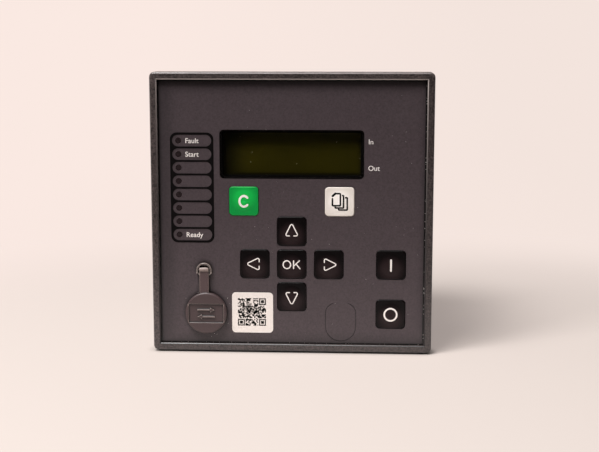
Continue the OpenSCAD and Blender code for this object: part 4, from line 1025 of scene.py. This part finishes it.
# Studio
# The relay stands just above a pale paper bowl, so that a dark line shows under its lower edge.
# A large soft lamp lights it from above and the left, and a second one, flagged, lights only the paper.
# The paper far behind glows as bright as the lit paper nearby, and the room in front is dim.
EDGE_GAP = 0.7 * MM
GAP_REACH = 6 * MM
FLOOR_Z = cad_box[0].z - EDGE_GAP
BOWL_INNER = (0.02, 0.25, 0.6)
BOWL_FLAT = 1.0
BOWL_RISE = 0.7
BOWL_RINGS = 14
BOWL_STEPS = 96
PAPER = "#f3e4dd"
PAPER_BRIGHT = "#fae9e2"
PAPER_LIT = "#8b837e"
PAPER_BOUNCE = "#c8c0bc"
PAPER_GLOW = 0.375
GLOW_FROM = Vector((30, -60, 0)) * MM
GLOW_NEAR, GLOW_FAR = 0.2, 0.45
DULL_RIGHT, BRIGHT_LEFT = 0.25, -0.3
DARK_FRONT, LIT_FRONT = -0.21, -0.09
MIRROR_NEAR, MIRROR_FAR = 0.15, 0.45
OVERHEAD_AT = (-0.5, -0.6, 1.62)
OVERHEAD_SIZE = 0.8
OVERHEAD_POWER = 62.0
FLAGGED_AT = (-1.1, -0.95, 0.8)
FLAGGED_SIZE = 0.5
FLAGGED_POWER = 24.0
ROOM_LIGHT = 0.05
bowl = bmesh.new()
profile = [(radius, FLOOR_Z) for radius in (*BOWL_INNER, BOWL_FLAT)]
for i in range(1, BOWL_RINGS + 1):
    turn = math.pi / 2 * i / BOWL_RINGS
    profile.append((BOWL_FLAT + BOWL_RISE * math.sin(turn), FLOOR_Z + BOWL_RISE * (1 - math.cos(turn))))
turns = [2 * math.pi * step / BOWL_STEPS for step in range(BOWL_STEPS)]
bowl_rings = [[bowl.verts.new((radius * math.cos(t), radius * math.sin(t), height)) for t in turns]
              for radius, height in profile]
bowl.faces.new(bowl_rings[0])
skin(bowl, bowl_rings)
for face in bowl.faces:
    face.smooth = True
bowl_mesh = bpy.data.meshes.new("paper_bowl")
bowl.to_mesh(bowl_mesh)
bowl.free()
floor = bpy.data.objects.new("paper_bowl", bowl_mesh)
bpy.context.scene.collection.objects.link(floor)

# Uncoated paper: fully dull, so it shows only soft light, the relay's shadow and its own even glow.
paper, paper_tree, paper_shader = new_finish("pale_paper", {"Roughness": 0.95, "Specular IOR Level": 0.0})
paper_place = add_node(paper_tree, "TexCoord").outputs["Object"]
paper_axes = add_node(paper_tree, "SeparateXYZ", links={"Vector": paper_place})
rays = add_node(paper_tree, "LightPath")
far_off = add_node(paper_tree, "VectorMath", {"operation": "DISTANCE", 1: GLOW_FROM}, {0: paper_place})
glow = add_node(paper_tree, "MapRange",
                {"From Min": GLOW_NEAR, "From Max": GLOW_FAR, "interpolation_type": "SMOOTHSTEP"},
                {"Value": far_off})
to_left = add_node(paper_tree, "MapRange", {"From Min": DULL_RIGHT, "From Max": BRIGHT_LEFT},
                   {"Value": paper_axes.outputs["X"]})
paper_glow = add_node(paper_tree, "Mix", {"data_type": "RGBA", 6: linear(PAPER), 7: linear(PAPER_BRIGHT)},
                      {0: to_left})
lit_front = add_node(paper_tree, "MapRange",
                     {"From Min": DARK_FRONT, "From Max": LIT_FRONT, "interpolation_type": "SMOOTHSTEP"},
                     {"Value": paper_axes.outputs["Y"]})
behind = add_node(paper_tree, "MapRange", {"From Min": MIRROR_NEAR, "From Max": MIRROR_FAR},
                  {"Value": paper_axes.outputs["Y"]})
seen_shade = add_node(paper_tree, "Mix", {"data_type": "RGBA", 6: linear(PAPER_LIT), 7: linear("#000000")},
                      {0: glow})
bounce_shade = add_node(paper_tree, "Mix",
                        {"data_type": "RGBA", 6: linear("#000000"), 7: linear(PAPER_BOUNCE)}, {0: lit_front})
paper_shade = add_node(paper_tree, "Mix", {"data_type": "RGBA"},
                       {0: rays.outputs["Is Camera Ray"], 6: bounce_shade, 7: seen_shade})
mirrored = add_node(paper_tree, "Math", {"operation": "MULTIPLY"},
                    {0: rays.outputs["Is Glossy Ray"], 1: behind})
shown = add_node(paper_tree, "Math", {"operation": "MAXIMUM"},
                 {0: rays.outputs["Is Camera Ray"], 1: mirrored})
level = add_node(paper_tree, "MapRange", {"To Min": PAPER_GLOW}, {"Value": glow})
strength = add_node(paper_tree, "Math", {"operation": "MULTIPLY"}, {0: shown, 1: level})
# Painted shade: the paper's glow is dimmed near the relay, as a contact shadow.
open_air = add_node(paper_tree, "AmbientOcclusion", {"samples": 8, "Distance": GAP_REACH})
clear = add_node(paper_tree, "MapRange", {"From Min": 0.3, "From Max": 0.9},
                 {"Value": open_air.outputs["AO"]})
seen_strength = add_node(paper_tree, "Math", {"operation": "MULTIPLY"}, {0: strength, 1: clear})
feed(paper_shader, {"Base Color": paper_shade, "Emission Color": paper_glow,
                    "Emission Strength": seen_strength})
bowl_mesh.materials.append(paper)


def soft_lamp(name, place, size, power):
    """White square soft lamp aimed at the relay."""
    light = bpy.data.lights.new(name, "AREA")
    light.size = size
    light.energy = power
    lamp = bpy.data.objects.new(name, light)
    lamp.location = place
    lamp.rotation_euler = (-Vector(place)).to_track_quat("-Z", "Y").to_euler()
    bpy.context.scene.collection.objects.link(lamp)
    return lamp


soft_lamp("overhead_softbox", OVERHEAD_AT, OVERHEAD_SIZE, OVERHEAD_POWER)
flagged_lamp = soft_lamp("flagged_softbox", FLAGGED_AT, FLAGGED_SIZE, FLAGGED_POWER)
paper_only = bpy.data.collections.new("paper_only")
paper_only.objects.link(floor)
flagged_lamp.light_linking.receiver_collection = paper_only
world = bpy.data.worlds.new("dim_room")
world.use_nodes = True
room = world.node_tree.nodes["Background"]
room.inputs["Color"].default_value = linear("#ffffff")
room.inputs["Strength"].default_value = ROOM_LIGHT
bpy.context.scene.world = world

# Camera
# A short telephoto view from a little above and to the right, with level sides.
# Its place and lens give the photograph's frame.
CAMERA_AT = Vector((36.55, -633.26, 93.52)) * MM
CAMERA_AIM = Vector((4.1, -12.0, -5.9)) * MM
SENSOR = 36.0
FOCAL_LENGTH = 74.22
lens = bpy.data.cameras.new("camera")
lens.sensor_width = SENSOR
lens.lens = FOCAL_LENGTH
camera = bpy.data.objects.new("camera", lens)
camera.location = CAMERA_AT
camera.rotation_euler = (CAMERA_AIM - CAMERA_AT).to_track_quat("-Z", "Y").to_euler()
bpy.context.scene.collection.objects.link(camera)
bpy.context.scene.camera = camera
bpy.context.scene.view_settings.view_transform = "Standard"
